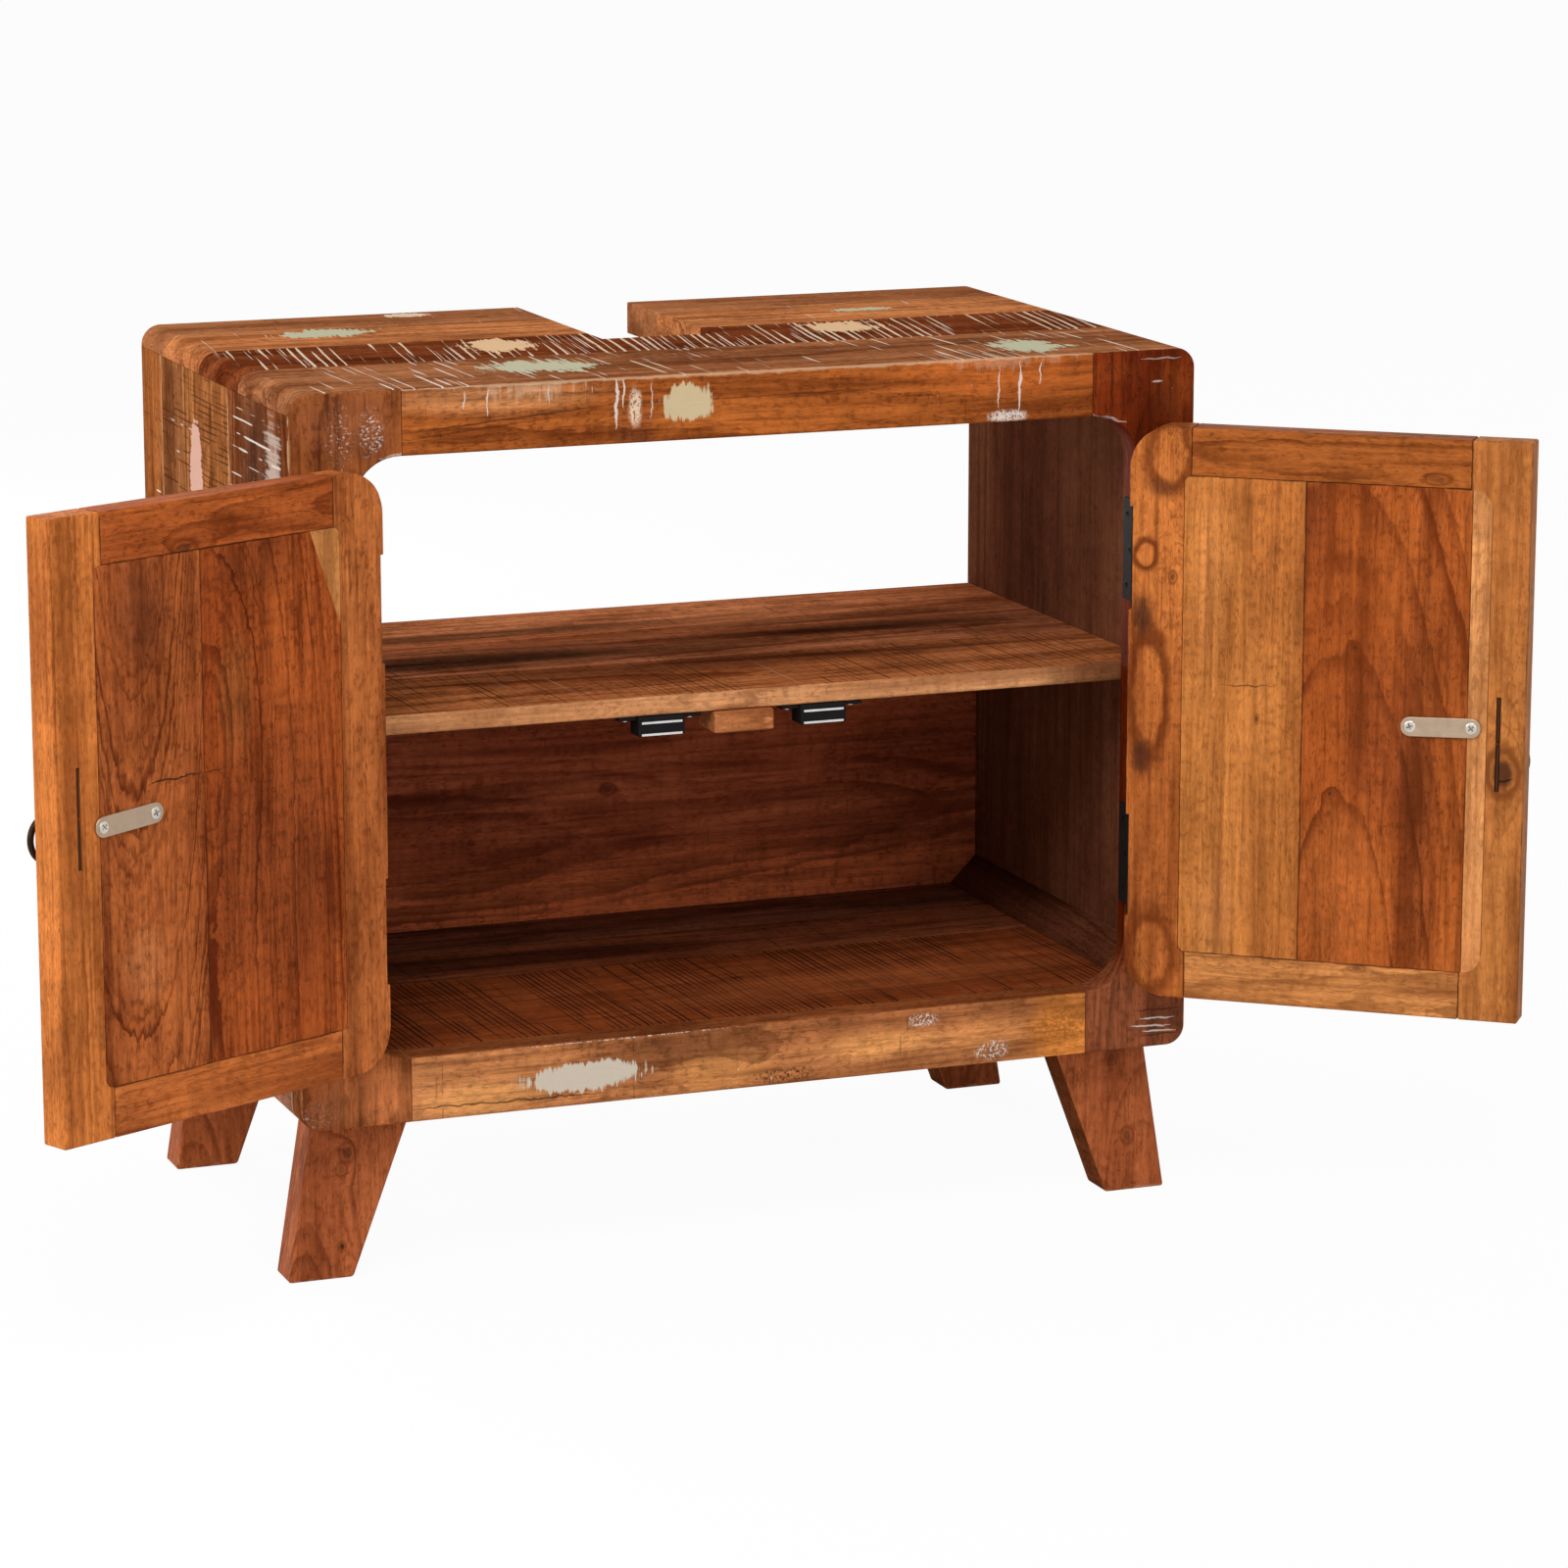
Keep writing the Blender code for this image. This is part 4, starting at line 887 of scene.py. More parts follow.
def top_plank(outline):
    """One plank of the top, rounded over at the cabinet's sides and rebated there for the side boards."""
    low_z, end_z = TOP_Z - TOP_THICKNESS, TOP_Z - TOP_END_THICKNESS
    bm = slab("Z", outline, end_z, TOP_Z)
    for sign in SIDE_SIGN.values():
        geometry = [*bm.verts, *bm.edges, *bm.faces]
        bmesh.ops.bisect_plane(
            bm, geom=geometry, plane_co=(sign * TONGUE_HALF, 0.0, 0.0), plane_no=AXES["X"],
        )
    under = [
        face
        for face in bm.faces
        if face.normal.z < -SQUARE_ON and abs(face.calc_center_median().x) < TONGUE_HALF
    ]
    grown = bmesh.ops.extrude_face_region(bm, geom=under)["geom"]
    lowered = [item for item in grown if isinstance(item, bmesh.types.BMVert)]
    bmesh.ops.translate(bm, verts=lowered, vec=(0.0, 0.0, low_z - end_z))
    bmesh.ops.recalc_face_normals(bm, faces=bm.faces)
    for sign in SIDE_SIGN.values():
        round_corner(bm, "Y", (sign * HALF_WIDTH, TOP_Z), OUTER_RADIUS)

    def shows(middle):
        return middle.z > (low_z if abs(middle.x) < TONGUE_HALF - NEAR else end_z) + NEAR / 10

    soften(bm, ARRIS, lambda middle: middle.y > BACK_Y - NEAR and shows(middle))
    soften(bm, PLANK_ARRIS, lambda middle: middle.y > FRAME_BACK_Y + NEAR and shows(middle))
    return bm


def build_top():
    front, dark, orange, back = TOP_WOODS
    first, second, third = TOP_JOINTS
    notched = [
        (-HALF_WIDTH, first), (HALF_WIDTH, first), (HALF_WIDTH, second), (NOTCH_HALF, second),
        (NOTCH_HALF, NOTCH_FRONT_Y), (-NOTCH_HALF, NOTCH_FRONT_Y), (-NOTCH_HALF, second),
        (-HALF_WIDTH, second),
    ]
    parts = [
        plain(top_plank(rectangle(-HALF_WIDTH, HALF_WIDTH, FRAME_BACK_Y, first)), front),
        plain(top_plank(notched), dark),
    ]
    for low_x, high_x in ((-HALF_WIDTH, -NOTCH_HALF), (NOTCH_HALF, HALF_WIDTH)):
        parts.append(plain(top_plank(rectangle(low_x, high_x, second, third)), orange))
        parts.append(plain(top_plank(rectangle(low_x, high_x, third, BACK_Y)), back))
    add_carcass_piece("planked_top", "sawn_top", "top_board", *parts)


SIDE_SEED_SHIFT = {"left": 0.0, "right": 20.0}


def side_woods(side, sign):
    """Outer woods of a side's three planks, from the front, and the wood of its inner face, darker partly
    by its own colour and partly by painted shade of the cabinet's inside.
    """
    low, high = node_span(side + "_side_board")
    bands = (FRONT_Y, *SIDE_JOINTS, BACK_Y)
    boards = [
        Board(CARCASS, (low.x, front, BOTTOM_Z), (high.x, back, TOP_Z), "ZY")
        for front, back in zip(bands, bands[1:])
    ]
    outer_x = sign * HALF_WIDTH
    shift = SIDE_SEED_SHIFT[side]

    def spot(y, z):
        return (outer_x, y, z)

    front = wood(side + "_side_front_plank", boards[0], (0.200, 0.062, 0.0215), 6.1 + shift, [
        stain(spot(-0.10, 0.50), (0.0, 0.03, 0.05), (0.09, 0.035, 0.02), 0.7),
        stain(spot(-0.09, 0.30), (0.0, 0.04, 0.07), (0.10, 0.040, 0.02), 0.6),
        saw(WHITE_WASH, 0.9, 0.0085, 0.40, 0.026, 0.12, 0.1),
        saw(DARK_WOOD, 0.6, 0.0050, 0.50, 0.03, 0.18, 0.6),
        patch(spot(-0.140, 0.510), (0.0, 0.013, 0.028), WHITE_WASH, 2.4, 0.5, 0.0, 0.5),
        flecks(spot(-0.120, 0.500), (0.0, 0.030, 0.030), WHITE_WASH, 0.68),
        wear(0.7, 0.0045),
    ], shine=0.0, rings=0.006, lean=0.03)
    middle = wood(side + "_side_middle_plank", boards[1], (0.318, 0.112, 0.0330), 7.7 + shift, [
        stain(spot(0.09, 0.45), (0.0, 0.03, 0.12), (0.17, 0.06, 0.025), 0.6),
        saw(DARK_WOOD, 0.75, 0.0036, 0.64, 0.050, 0.26, 0.3),
        saw(WHITE_WASH, 0.6, 0.021, 0.26, 0.014, 0.08, 0.8),
        patch(spot(0.041, 0.480), (0.0, 0.0145, 0.042), PINK, 0.6),
        patch(spot(0.075, 0.250), (0.0, 0.020, 0.032), PALE_GREEN, 1.5),
    ], shine=0.0, rings=0.006, lean=0.02, trunk=(-0.04, 0.04))
    back = wood(side + "_side_back_plank", boards[2], (0.300, 0.096, 0.0260), 8.9 + shift, [
        saw(WHITE_WASH, 0.9, 0.0110, 0.46, 0.024, 0.14, 0.2),
        saw(DARK_WOOD, 0.55, 0.0055, 0.42, 0.03, 0.16, 0.5),
        wear(0.5, 0.003),
    ], shine=0.0, rings=0.005)
    # The inner face is a darker copy of the side's wood: partly its own colour, partly painted shade of the
    # cabinet's inside.
    shaded_inner_board = Board(CARCASS, (low.x, FRAME_BACK_Y, low.z), (high.x, BACK_Y, high.z), "ZY")
    inner = wood(side + "_side_inner_face_dark_and_painted_shade", shaded_inner_board, (0.146, 0.049, 0.0230), 10.3 + shift, [
        stain(spot(0.05, 0.45), (0.0, 0.05, 0.10), (0.08, 0.025, 0.012), 0.6),
    ], shine=0.0, rings=0.007, lean=0.02, trunk=(0.03, 0.05), contrast=0.6, lines=0.4, rough=0.5)
    return front, middle, back, inner


def build_side(side, sign):
    """A side of three planks, which gives back its front plank's wood."""
    woods = side_woods(side, sign)
    low, high = node_span(side + "_side_board")
    inner = woods[3]
    outer_x, inner_x, rebate_x = sign * HALF_WIDTH, sign * SIDE_INNER, sign * REBATE_X
    first, second = SIDE_JOINTS
    outlines = [
        [(outer_x, FRAME_BACK_Y), (outer_x, first), (inner_x, first), (inner_x, FRAME_BACK_Y)],
        [(outer_x, first), (outer_x, second), (inner_x, second), (inner_x, first)],
        [
            (outer_x, second), (outer_x, BACK_Y), (rebate_x, BACK_Y), (rebate_x, REBATE_Y),
            (inner_x, REBATE_Y), (inner_x, second),
        ],
    ]
    parts = []
    for outline, material in zip(outlines, woods):
        bm = slab("Z", outline, low.z, high.z)
        for width, start in ((ARRIS, BACK_Y - NEAR), (PLANK_ARRIS, FRAME_BACK_Y + NEAR)):
            soften(bm, width, lambda middle: middle.y > start and is_between(middle.z, low.z, high.z))
        # Faces turned inwards take the inner wood, which carries painted shade.
        coats = [(material, everywhere), (inner, lambda face: face.normal.x * sign < -FACING)]
        parts.append((bm, coats))
    near_x, far_x = sorted((inner_x, rebate_x))
    # The filler in the rebate takes the same inner wood with its painted shade.
    filler = box((near_x, REBATE_Y, TOP_Z - TOP_THICKNESS), (far_x, BACK_Y - ARRIS, high.z))
    parts.append(plain(filler, inner))
    add_carcass_piece(side + "_planked_side", "frame_wood", side + "_side_board", *parts)
    return woods[0]


STILE_TONE = {"left": (0.232, 0.063, 0.0155), "right": (0.144, 0.0210, 0.0030)}
STILE_SEED = {"left": 11.9, "right": 13.1}
STILE_FIGURE = {"rings": 0.006, "lean": 0.06, "trunk": (0.02, 0.06)}


def stile_marks(side):
    """The stains, flecks and scratches on a stile's front face, and a patch of painted light at the left
    stile's foot.
    """

    def spot(x, z):
        return (SIDE_SIGN[side] * x, FRONT_Y, z)

    marks = {
        "left": [
            stain(spot(0.265, 0.545), (0.03, 0.0, 0.018), (0.17, 0.052, 0.020), 0.55),
            stain(spot(0.252, 0.532), (0.012, 0.0, 0.010), (0.12, 0.034, 0.012), 0.5),
            flecks(spot(0.268, 0.536), (0.008, 0.0, 0.020), WHITE_WASH, 0.62, 0.7),
            flecks(spot(0.248, 0.539), (0.007, 0.0, 0.013), WHITE_WASH, 0.58, 0.85),
            crack(spot(0.226, 0.5255), spot(0.243, 0.5235), 0.0016, WHITE_WASH, 0.45, 0.006),
            flecks(spot(0.288, 0.117), (0.012, 0.0, 0.009), WHITE_WASH, 0.58, 0.5),
            # Painted light: a lighter patch at the left stile's foot, where the open left door's shade
            # falls.
            stain(spot(0.255, 0.125), (0.040, 0.0, 0.018), (0.48, 0.150, 0.048), 0.7),
            stain(spot(0.283, 0.120), (0.012, 0.0, 0.010), (0.20, 0.062, 0.026), 0.5),
            worn_line(spot(HALF_WIDTH, 0.12), spot(HALF_WIDTH, 0.55), 0.004, 0.28),
        ],
        "right": [
            stain(spot(0.262, 0.540), (0.048, 0.0, 0.05), (0.115, 0.013, 0.0012), 0.45),
            stain(spot(0.284, 0.538), (0.012, 0.0, 0.018), (0.27, 0.058, 0.010), 0.45),
            stain(spot(0.242, 0.552), (0.016, 0.0, 0.008), (0.25, 0.048, 0.008), 0.35),
            flecks(spot(0.262, 0.545), (0.030, 0.0, 0.016), WHITE_WASH, 0.72, 0.5),
            crack(spot(0.270, 0.5445), spot(0.277, 0.5446), 0.0013, WHITE_WASH, 0.55, 0.002),
            crack(spot(0.262, 0.5595), spot(0.290, 0.5590), 0.0010, WHITE_WASH, 0.35, 0.003),
            crack(spot(0.229, 0.5260), spot(0.252, 0.5190), 0.0014, WHITE_WASH, 0.40, 0.006),
            stain(spot(0.262, 0.130), (0.055, 0.0, 0.034), (0.33, 0.105, 0.042), 0.65),
            stain(spot(0.285, 0.122), (0.022, 0.0, 0.014), (0.12, 0.038, 0.018), 0.5),
            worn_line(spot(HALF_WIDTH, 0.12), spot(HALF_WIDTH, 0.55), 0.003, 0.35),
        ],
    }[side]
    if side == "right":
        for z, start, end in ((0.126, 0.268, 0.292), (0.121, 0.262, 0.290), (0.117, 0.270, 0.294)):
            marks.append(crack(spot(start, z), spot(end, z - 0.001), 0.0012, WHITE_WASH, 0.85, 0.003))
        for z, start, end in ((0.131, 0.264, 0.296), (0.114, 0.266, 0.296)):
            marks.append(crack(spot(start, z), spot(end, z), 0.0009, DARK_WOOD, 0.8, 0.003))
    return marks


def build_stile(side, sign, side_front):
    """A C-shaped stile of the face frame. Its outer edge carries on the wood of the side and the top."""
    low, high = node_span(side + "_frame_stile")
    end_x, edge_x, outer_x = sign * STILE_END, sign * OPENING_HALF, sign * HALF_WIDTH
    outline = [
        (outer_x, BOTTOM_Z), (outer_x, TOP_Z), (end_x, TOP_Z), (end_x, OPENING_HIGH_Z),
        (edge_x, OPENING_HIGH_Z), (edge_x, OPENING_LOW_Z), (end_x, OPENING_LOW_Z), (end_x, BOTTOM_Z),
    ]
    bm = slab("Y", outline, low.y, high.y)
    for z in (BOTTOM_Z, TOP_Z):
        round_corner(bm, "Y", (outer_x, z), OUTER_RADIUS)
    for z in (OPENING_LOW_Z, OPENING_HIGH_Z):
        round_corner(bm, "Y", (edge_x, z), OPENING_RADIUS)
    soften(bm, ARRIS, lambda middle: middle.y < FRONT_Y + NEAR and abs(middle.x) > STILE_END + NEAR)
    soften(
        bm, SMALL_ARRIS, lambda middle: middle.y < FRAME_BACK_Y - NEAR and abs(middle.x) < STILE_END + NEAR,
    )
    board = Board(CARCASS, low, high, "ZX")
    name = side + "_frame_stile"
    front = wood(
        name + "_wood", board, STILE_TONE[side], STILE_SEED[side], stile_marks(side), **STILE_FIGURE,
    )

    def on_side(face):
        outwards = face.normal.x * sign > SIDE_FACING and abs(face.normal.y) < FACING
        return outwards and face.calc_center_median().x * sign > OPENING_HALF

    def on_top(face):
        return abs(face.normal.y) < FACING and face.calc_center_median().z > TOP_Z - TOP_END_THICKNESS

    coats = [(front, everywhere), (side_front, on_side), (TOP_WOODS[0], on_top)]
    add_carcass_piece(name + "_wood", "frame_wood", name, (bm, coats))


def rail_spot(x, z):
    return (x, FRONT_Y, z)


def white_scratch(x, low, high, thickness=0.0014, strength=0.85):
    start, end = rail_spot(x, low), rail_spot(x + SCRATCH_LEAN, high)
    return crack(start, end, thickness, WHITE_WASH, strength, SCRATCH_CROOKED)


TOP_RAIL_MARKS = [
    stain(rail_spot(-0.17, 0.558), (0.06, 0.0, 0.010), (0.50, 0.22, 0.085), 0.55),
    stain(rail_spot(0.17, 0.555), (0.07, 0.0, 0.012), (0.38, 0.088, 0.016), 0.45),
    stain(rail_spot(-0.08, 0.530), (0.012, 0.0, 0.02), (0.16, 0.04, 0.012), 0.6),
    crack(rail_spot(-0.229, 0.5375), rail_spot(-0.10, 0.5485), 0.0011, DARK_WOOD, 0.7, 0.002),
    crack(rail_spot(-0.10, 0.5485), rail_spot(0.08, 0.5495), 0.0009, DARK_WOOD, 0.5, 0.002),
    crack(rail_spot(-0.229, 0.5335), rail_spot(-0.13, 0.543), 0.0009, DARK_WOOD, 0.5, 0.002),
    saw(WHITE_WASH, 0.45, 0.014, 0.26, 0.010, 0.09, 0.3),
    saw(DARK_WOOD, 0.45, 0.0045, 0.34, 0.012, 0.20, 0.7),
    patch(rail_spot(-0.0447, 0.5472), (0.0150, 0.0, 0.0122), SAGE, 0.9, 0.08),
    white_scratch(-0.0916, 0.533, 0.566, 0.0017),
    white_scratch(-0.0868, 0.546, 0.566, 0.0014),
    white_scratch(-0.0686, 0.538, 0.562, 0.0008, 0.6),
    white_scratch(-0.1747, 0.545, 0.562, 0.0010, 0.7),
    white_scratch(-0.1896, 0.550, 0.561, 0.0013, 0.6),
    white_scratch(-0.1352, 0.550, 0.563, 0.0009, 0.6),
    white_scratch(0.1636, 0.533, 0.560, 0.0010),
    white_scratch(0.1777, 0.529, 0.562, 0.0014),
    white_scratch(0.1918, 0.547, 0.561, 0.0009),
    flecks(rail_spot(-0.0793, 0.546), (0.004, 0.0, 0.011), CREAM, 0.45),
    flecks(rail_spot(0.170, 0.5275), (0.012, 0.0, 0.004), WHITE_WASH, 0.46),
    patch(rail_spot(-0.150, 0.5655), (0.034, 0.0, 0.0070), CREAM, 2.6, 0.25, 0.35, 0.22),
    patch(rail_spot(0.175, 0.5655), (0.030, 0.0, 0.0060), CREAM, 2.6, 0.25, 0.35, 0.15),
    worn_line(rail_spot(-0.29, TOP_Z), rail_spot(0.29, TOP_Z)),
]
BOTTOM_RAIL_MARKS = [
    knot(rail_spot(0.000, 0.129), 0.004, 1.6, 0.4),
    stain(rail_spot(0.215, 0.127), (0.024, 0.0, 0.03), (0.74, 0.245, 0.040), 0.75),
    stain(rail_spot(-0.180, 0.117), (0.036, 0.0, 0.010), (0.64, 0.29, 0.090), 0.55),
    stain(rail_spot(-0.025, 0.121), (0.032, 0.0, 0.012), (0.62, 0.26, 0.075), 0.5),
    stain(rail_spot(0.085, 0.128), (0.030, 0.0, 0.010), (0.62, 0.27, 0.080), 0.55),
    stain(rail_spot(0.160, 0.126), (0.028, 0.0, 0.012), (0.56, 0.22, 0.065), 0.45),
    stain(rail_spot(0.10, 0.140), (0.10, 0.0, 0.008), (0.22, 0.066, 0.021), 0.55),
    stain(rail_spot(-0.05, 0.137), (0.05, 0.0, 0.010), (0.25, 0.085, 0.03), 0.5),
    crack(rail_spot(-0.229, 0.1145), rail_spot(-0.10, 0.1125), 0.0012, DARK_WOOD, 0.8, 0.004),
    saw(DARK_WOOD, 0.4, 0.0048, 0.36, 0.010, 0.20, 0.4),
    saw(WHITE_WASH, 0.6, 0.018, 0.22, 0.010, 0.10, 0.2),
    patch(rail_spot(-0.1155, 0.1248), (0.0405, 0.0, 0.0088), GREY_CREAM, 1.1, 0.12),
    flecks(rail_spot(0.1626, 0.115), (0.012, 0.0, 0.006), WHITE_WASH, 0.55),
    flecks(rail_spot(0.115, 0.139), (0.010, 0.0, 0.004), WHITE_WASH, 0.55),
    flecks(rail_spot(0.02, 0.112), (0.025, 0.0, 0.005), DARK_WOOD, 0.55),
    patch(rail_spot(-0.09, 0.1476), (0.085, 0.0, 0.0012), WHITE_WASH, 0.5, 0.35, 0.52, 0.8, 1),
    flecks(rail_spot(0.215, 0.127), (0.020, 0.0, 0.012), (0.26, 0.08, 0.018), 0.52, 0.6),
]


def add_rail(name, material, upper):
    """A rail of the face frame, with another wood on its upper face."""
    low, high = node_span(name)
    free_x = STILE_END - RAIL_END_MARGIN
    bm = box(low, high)
    soften(bm, ARRIS, lambda middle: middle.y < FRONT_Y + NEAR and abs(middle.x) < free_x)
    soften(bm, SMALL_ARRIS, lambda middle: middle.y < FRAME_BACK_Y - NEAR)
    coats = [(material, everywhere), (upper, faces_up)]
    add_carcass_piece(name + "_wood", "frame_wood", name, (bm, coats))


def build_rails():
    name = "top_frame_rail"
    board = Board(CARCASS, *node_span(name), "XZ")
    figure = {"rings": 0.005, "lean": 0.035, "trunk": (-0.03, 0.05)}
    material = wood(name + "_wood", board, (0.266, 0.064, 0.0108), 14.7, TOP_RAIL_MARKS, **figure)
    add_rail(name, material, TOP_WOODS[0])

    name = "bottom_frame_rail"
    board = Board(CARCASS, *node_span(name), "XZ")
    figure = {"rings": 0.006, "lean": 0.04, "trunk": (0.01, 0.05)}
    material = wood(name + "_wood", board, (0.362, 0.128, 0.0420), 15.9, BOTTOM_RAIL_MARKS, **figure)
    ledge_board = Board(CARCASS, *node_span(name), "XY")
    ledge = wood(name + "_ledge", ledge_board, (0.215, 0.060, 0.0175), 16.4, shine=0.0, lean=0.02)
    add_rail(name, material, ledge)


def planked_board(name, node, joints, woods, edge_wood=None):
    """A board of planks along X, given from the front, with its front edge in a wood of its own."""
    low, high = node_span(node)
    bands = (low.y, *joints, high.y)

    def on_front_edge(face):
        return face.normal.y < -FACING and face.calc_center_median().y < low.y + EDGE_DEPTH

    parts = []
    for front, back, material in zip(bands, bands[1:], woods):
        bm = box((low.x, front, low.z), (high.x, back, high.z))
        soften(bm, ARRIS, lambda middle: middle.y < low.y + NEAR)
        soften(bm, PLANK_ARRIS)
        coats = [(material, everywhere)]
        if edge_wood:
            coats.append((edge_wood, on_front_edge))
        parts.append((bm, coats))
    add_carcass_piece(name, "carcass_wood", node, *parts)


def plank_boards(node, joints):
    low, high = node_span(node)
    bands = (low.y, *joints, high.y)
    return [
        Board(CARCASS, (low.x, front, low.z), (high.x, back, high.z), "XY")
        for front, back in zip(bands, bands[1:])
    ]


def build_shelf():
    boards = plank_boards("shelf", SHELF_JOINTS)
    low, high = node_span("shelf")
    dark_saw = saw(BLACK_LINE, 0.9, 0.0048, 0.66, 0.130, 0.19, 0.2)
    woods = [
        wood("shelf_front_plank", boards[0], (0.312, 0.094, 0.029), 17.1, [
            dark_saw,
            saw(WHITE_WASH, 0.35, 0.0120, 0.40, 0.120, 0.05, 0.6),
            stain((0.0, -0.06, high.z), (0.20, 0.02, 0.0), (0.13, 0.04, 0.016), 0.6),
        ], slant=INSIDE_SLANT, shine=0.0, lean=0.03),
        # Painted light: the middle and back planks' tones are raised above the wood's own, brightening the
        # shelf inside the cabinet, most at the back.
        wood("shelf_middle_plank_painted_light", boards[1], (0.400, 0.132, 0.054), 18.3, [
            saw(BLACK_LINE, 0.8, 0.0070, 0.40, 0.090, 0.11, 0.5),
            stain((-0.14, 0.0, high.z), (0.16, 0.02, 0.0), (0.05, 0.02, 0.010), 0.85),
            stain((0.16, 0.02, high.z), (0.10, 0.015, 0.0), (0.06, 0.022, 0.011), 0.75),
            stain((0.02, 0.0, high.z), (0.06, 0.02, 0.0), (0.27, 0.09, 0.036), 0.6),
        ], slant=INSIDE_SLANT, shine=0.0, lean=0.02, lines=0.9),
        wood("shelf_back_plank_painted_light", boards[2], (0.720, 0.245, 0.096), 19.5, [
            saw(BLACK_LINE, 0.6, 0.0085, 0.34, 0.03, 0.12, 0.1),
            stain((-0.10, 0.085, high.z), (0.18, 0.012, 0.0), (0.10, 0.036, 0.016), 0.7),
            stain((0.15, 0.06, high.z), (0.14, 0.012, 0.0), (0.12, 0.04, 0.018), 0.6),
        ], slant=INSIDE_SLANT, shine=0.0, lean=0.03),
    ]
    edge_board = Board(CARCASS, (low.x, low.y, low.z), (high.x, low.y + EDGE_BOARD_DEPTH, high.z), "XZ")
    edge = wood("shelf_front_edge", edge_board, (0.47, 0.200, 0.080), 20.7, [
        stain((0.25, low.y, 0.353), (0.035, 0.0, 0.02), (0.14, 0.045, 0.016), 0.8),
        saw(DARK_WOOD, 0.25, 0.006, 0.3, 0.01, 0.15, 0.3),
    ], contrast=0.7, rings=0.004, lean=0.03)
    planked_board("shelf_planks", "shelf", SHELF_JOINTS, woods, edge)


def build_floor():
    boards = plank_boards("floor_board", FLOOR_JOINTS)
    _, high = node_span("floor_board")
    woods = [
        wood("floor_front_plank", boards[0], (0.220, 0.050, 0.0130), 21.9, [
            saw(BLACK_LINE, 0.92, 0.0042, 0.80, 0.110, 0.30, 0.2),
            stain((0.10, -0.10, high.z), (0.12, 0.03, 0.0), (0.28, 0.075, 0.022), 0.5),
            knot((0.03, -0.06, high.z), 0.0025, 3.0, 0.9),
        ], slant=INSIDE_SLANT, contrast=0.6, shine=0.0, lean=0.02),
        wood("floor_middle_plank", boards[1], (0.215, 0.060, 0.023), 23.1, [
            saw(BLACK_LINE, 0.8, 0.0075, 0.40, 0.060, 0.14, 0.5),
            stain((-0.10, 0.04, high.z), (0.15, 0.02, 0.0), (0.045, 0.014, 0.007), 0.7),
        ], slant=INSIDE_SLANT, shine=0.0, lean=0.02),
        wood(
            "floor_back_plank", boards[2], (0.21, 0.078, 0.040), 24.3, slant=INSIDE_SLANT, shine=0.0,
            lean=0.02,
        ),
    ]
    planked_board("floor_planks", "floor_board", FLOOR_JOINTS, woods)


def build_back_panel():
    low, high = node_span("back_panel")
    board = Board(CARCASS, low, high, "XZ")
    face_y = low.y
    panel = wood("back_panel_wood", board, (0.33, 0.072, 0.026), 25.5, [
        knot((0.150, face_y, 0.283), 0.0035, 1.4, 0.8),
        knot((0.098, face_y, 0.276), 0.0045, 1.5, 0.5),
        knot((0.010, face_y, 0.236), 0.0035, 1.4, 0.6),
        stain((-0.16, face_y, 0.293), (0.03, 0.0, 0.006), (0.04, 0.013, 0.006), 0.7),
        stain((0.03, face_y, 0.165), (0.30, 0.0, 0.022), (0.58, 0.135, 0.044), 0.85, face=1),
        saw(DARK_WOOD, 0.35, 0.0045, 0.34, 0.02, 0.2, 0.4),
    ], rings=0.007, lean=0.05, trunk=(-0.04, 0.05), warp=0.02)
    bm = soften(box(low, high), PLANK_ARRIS)
    add_carcass_piece("back_panel_wood", "carcass_wood", "back_panel", plain(bm, panel))


def build_stop_block():
    low, high = node_span("door_stop_block")
    board = Board(CARCASS, low, high, "XZ")
    block = wood("stop_block_wood", board, (0.40, 0.135, 0.045), 26.7, contrast=0.7, rings=0.004)
    bm = soften(box(low, high), BLOCK_ARRIS)
    add_carcass_piece("stop_block_wood", "carcass_wood", "door_stop_block", plain(bm, block))


STRIP_TONE = (0.085, 0.024, 0.010)
STRIP_SEED = {"left": 27.9, "right": 29.1}


def build_corner_strips():
    for side, sign in SIDE_SIGN.items():
        low, high = node_span(side + "_corner_strip")
        inner, outer = (low.x, high.x) if sign > 0 else (high.x, low.x)
        board = Board(CARCASS, low, high, "YX")
        name = side + "_corner_strip"
        strip = wood(name + "_wood", board, STRIP_TONE, STRIP_SEED[side], rings=0.004, lean=0.02)
        bm = slab("Y", [(inner, low.z), (outer, low.z), (outer, high.z)], low.y, high.y)
        soften(bm, STRIP_ARRIS)
        add_carcass_piece(name + "_wood", "carcass_wood", name, plain(bm, strip))


def build_base():
    low, high = node_span("base_board")
    board = Board(CARCASS, low, high, "XY")
    material = wood("base_board_wood", board, (0.27, 0.090, 0.036), 30.3, [
        saw(DARK_WOOD, 0.6, 0.0052, 0.5, 0.04, 0.18, 0.3),
        saw(WHITE_WASH, 0.6, 0.022, 0.3, 0.02, 0.08, 0.7),
        wear(0.5, 0.003),
    ], lean=0.02)
    bm = box((low.x, FRAME_BACK_Y, low.z), high)
    for sign in SIDE_SIGN.values():
        round_corner(bm, "Y", (sign * HALF_WIDTH, BOTTOM_Z), OUTER_RADIUS)
    soften(bm, ARRIS, lambda middle: middle.y > BACK_Y - NEAR and middle.z < high.z - NEAR)
    add_carcass_piece("base_board_wood", "carcass_wood", "base_board", plain(bm, material))


LEG_TONE = (0.34, 0.088, 0.027)
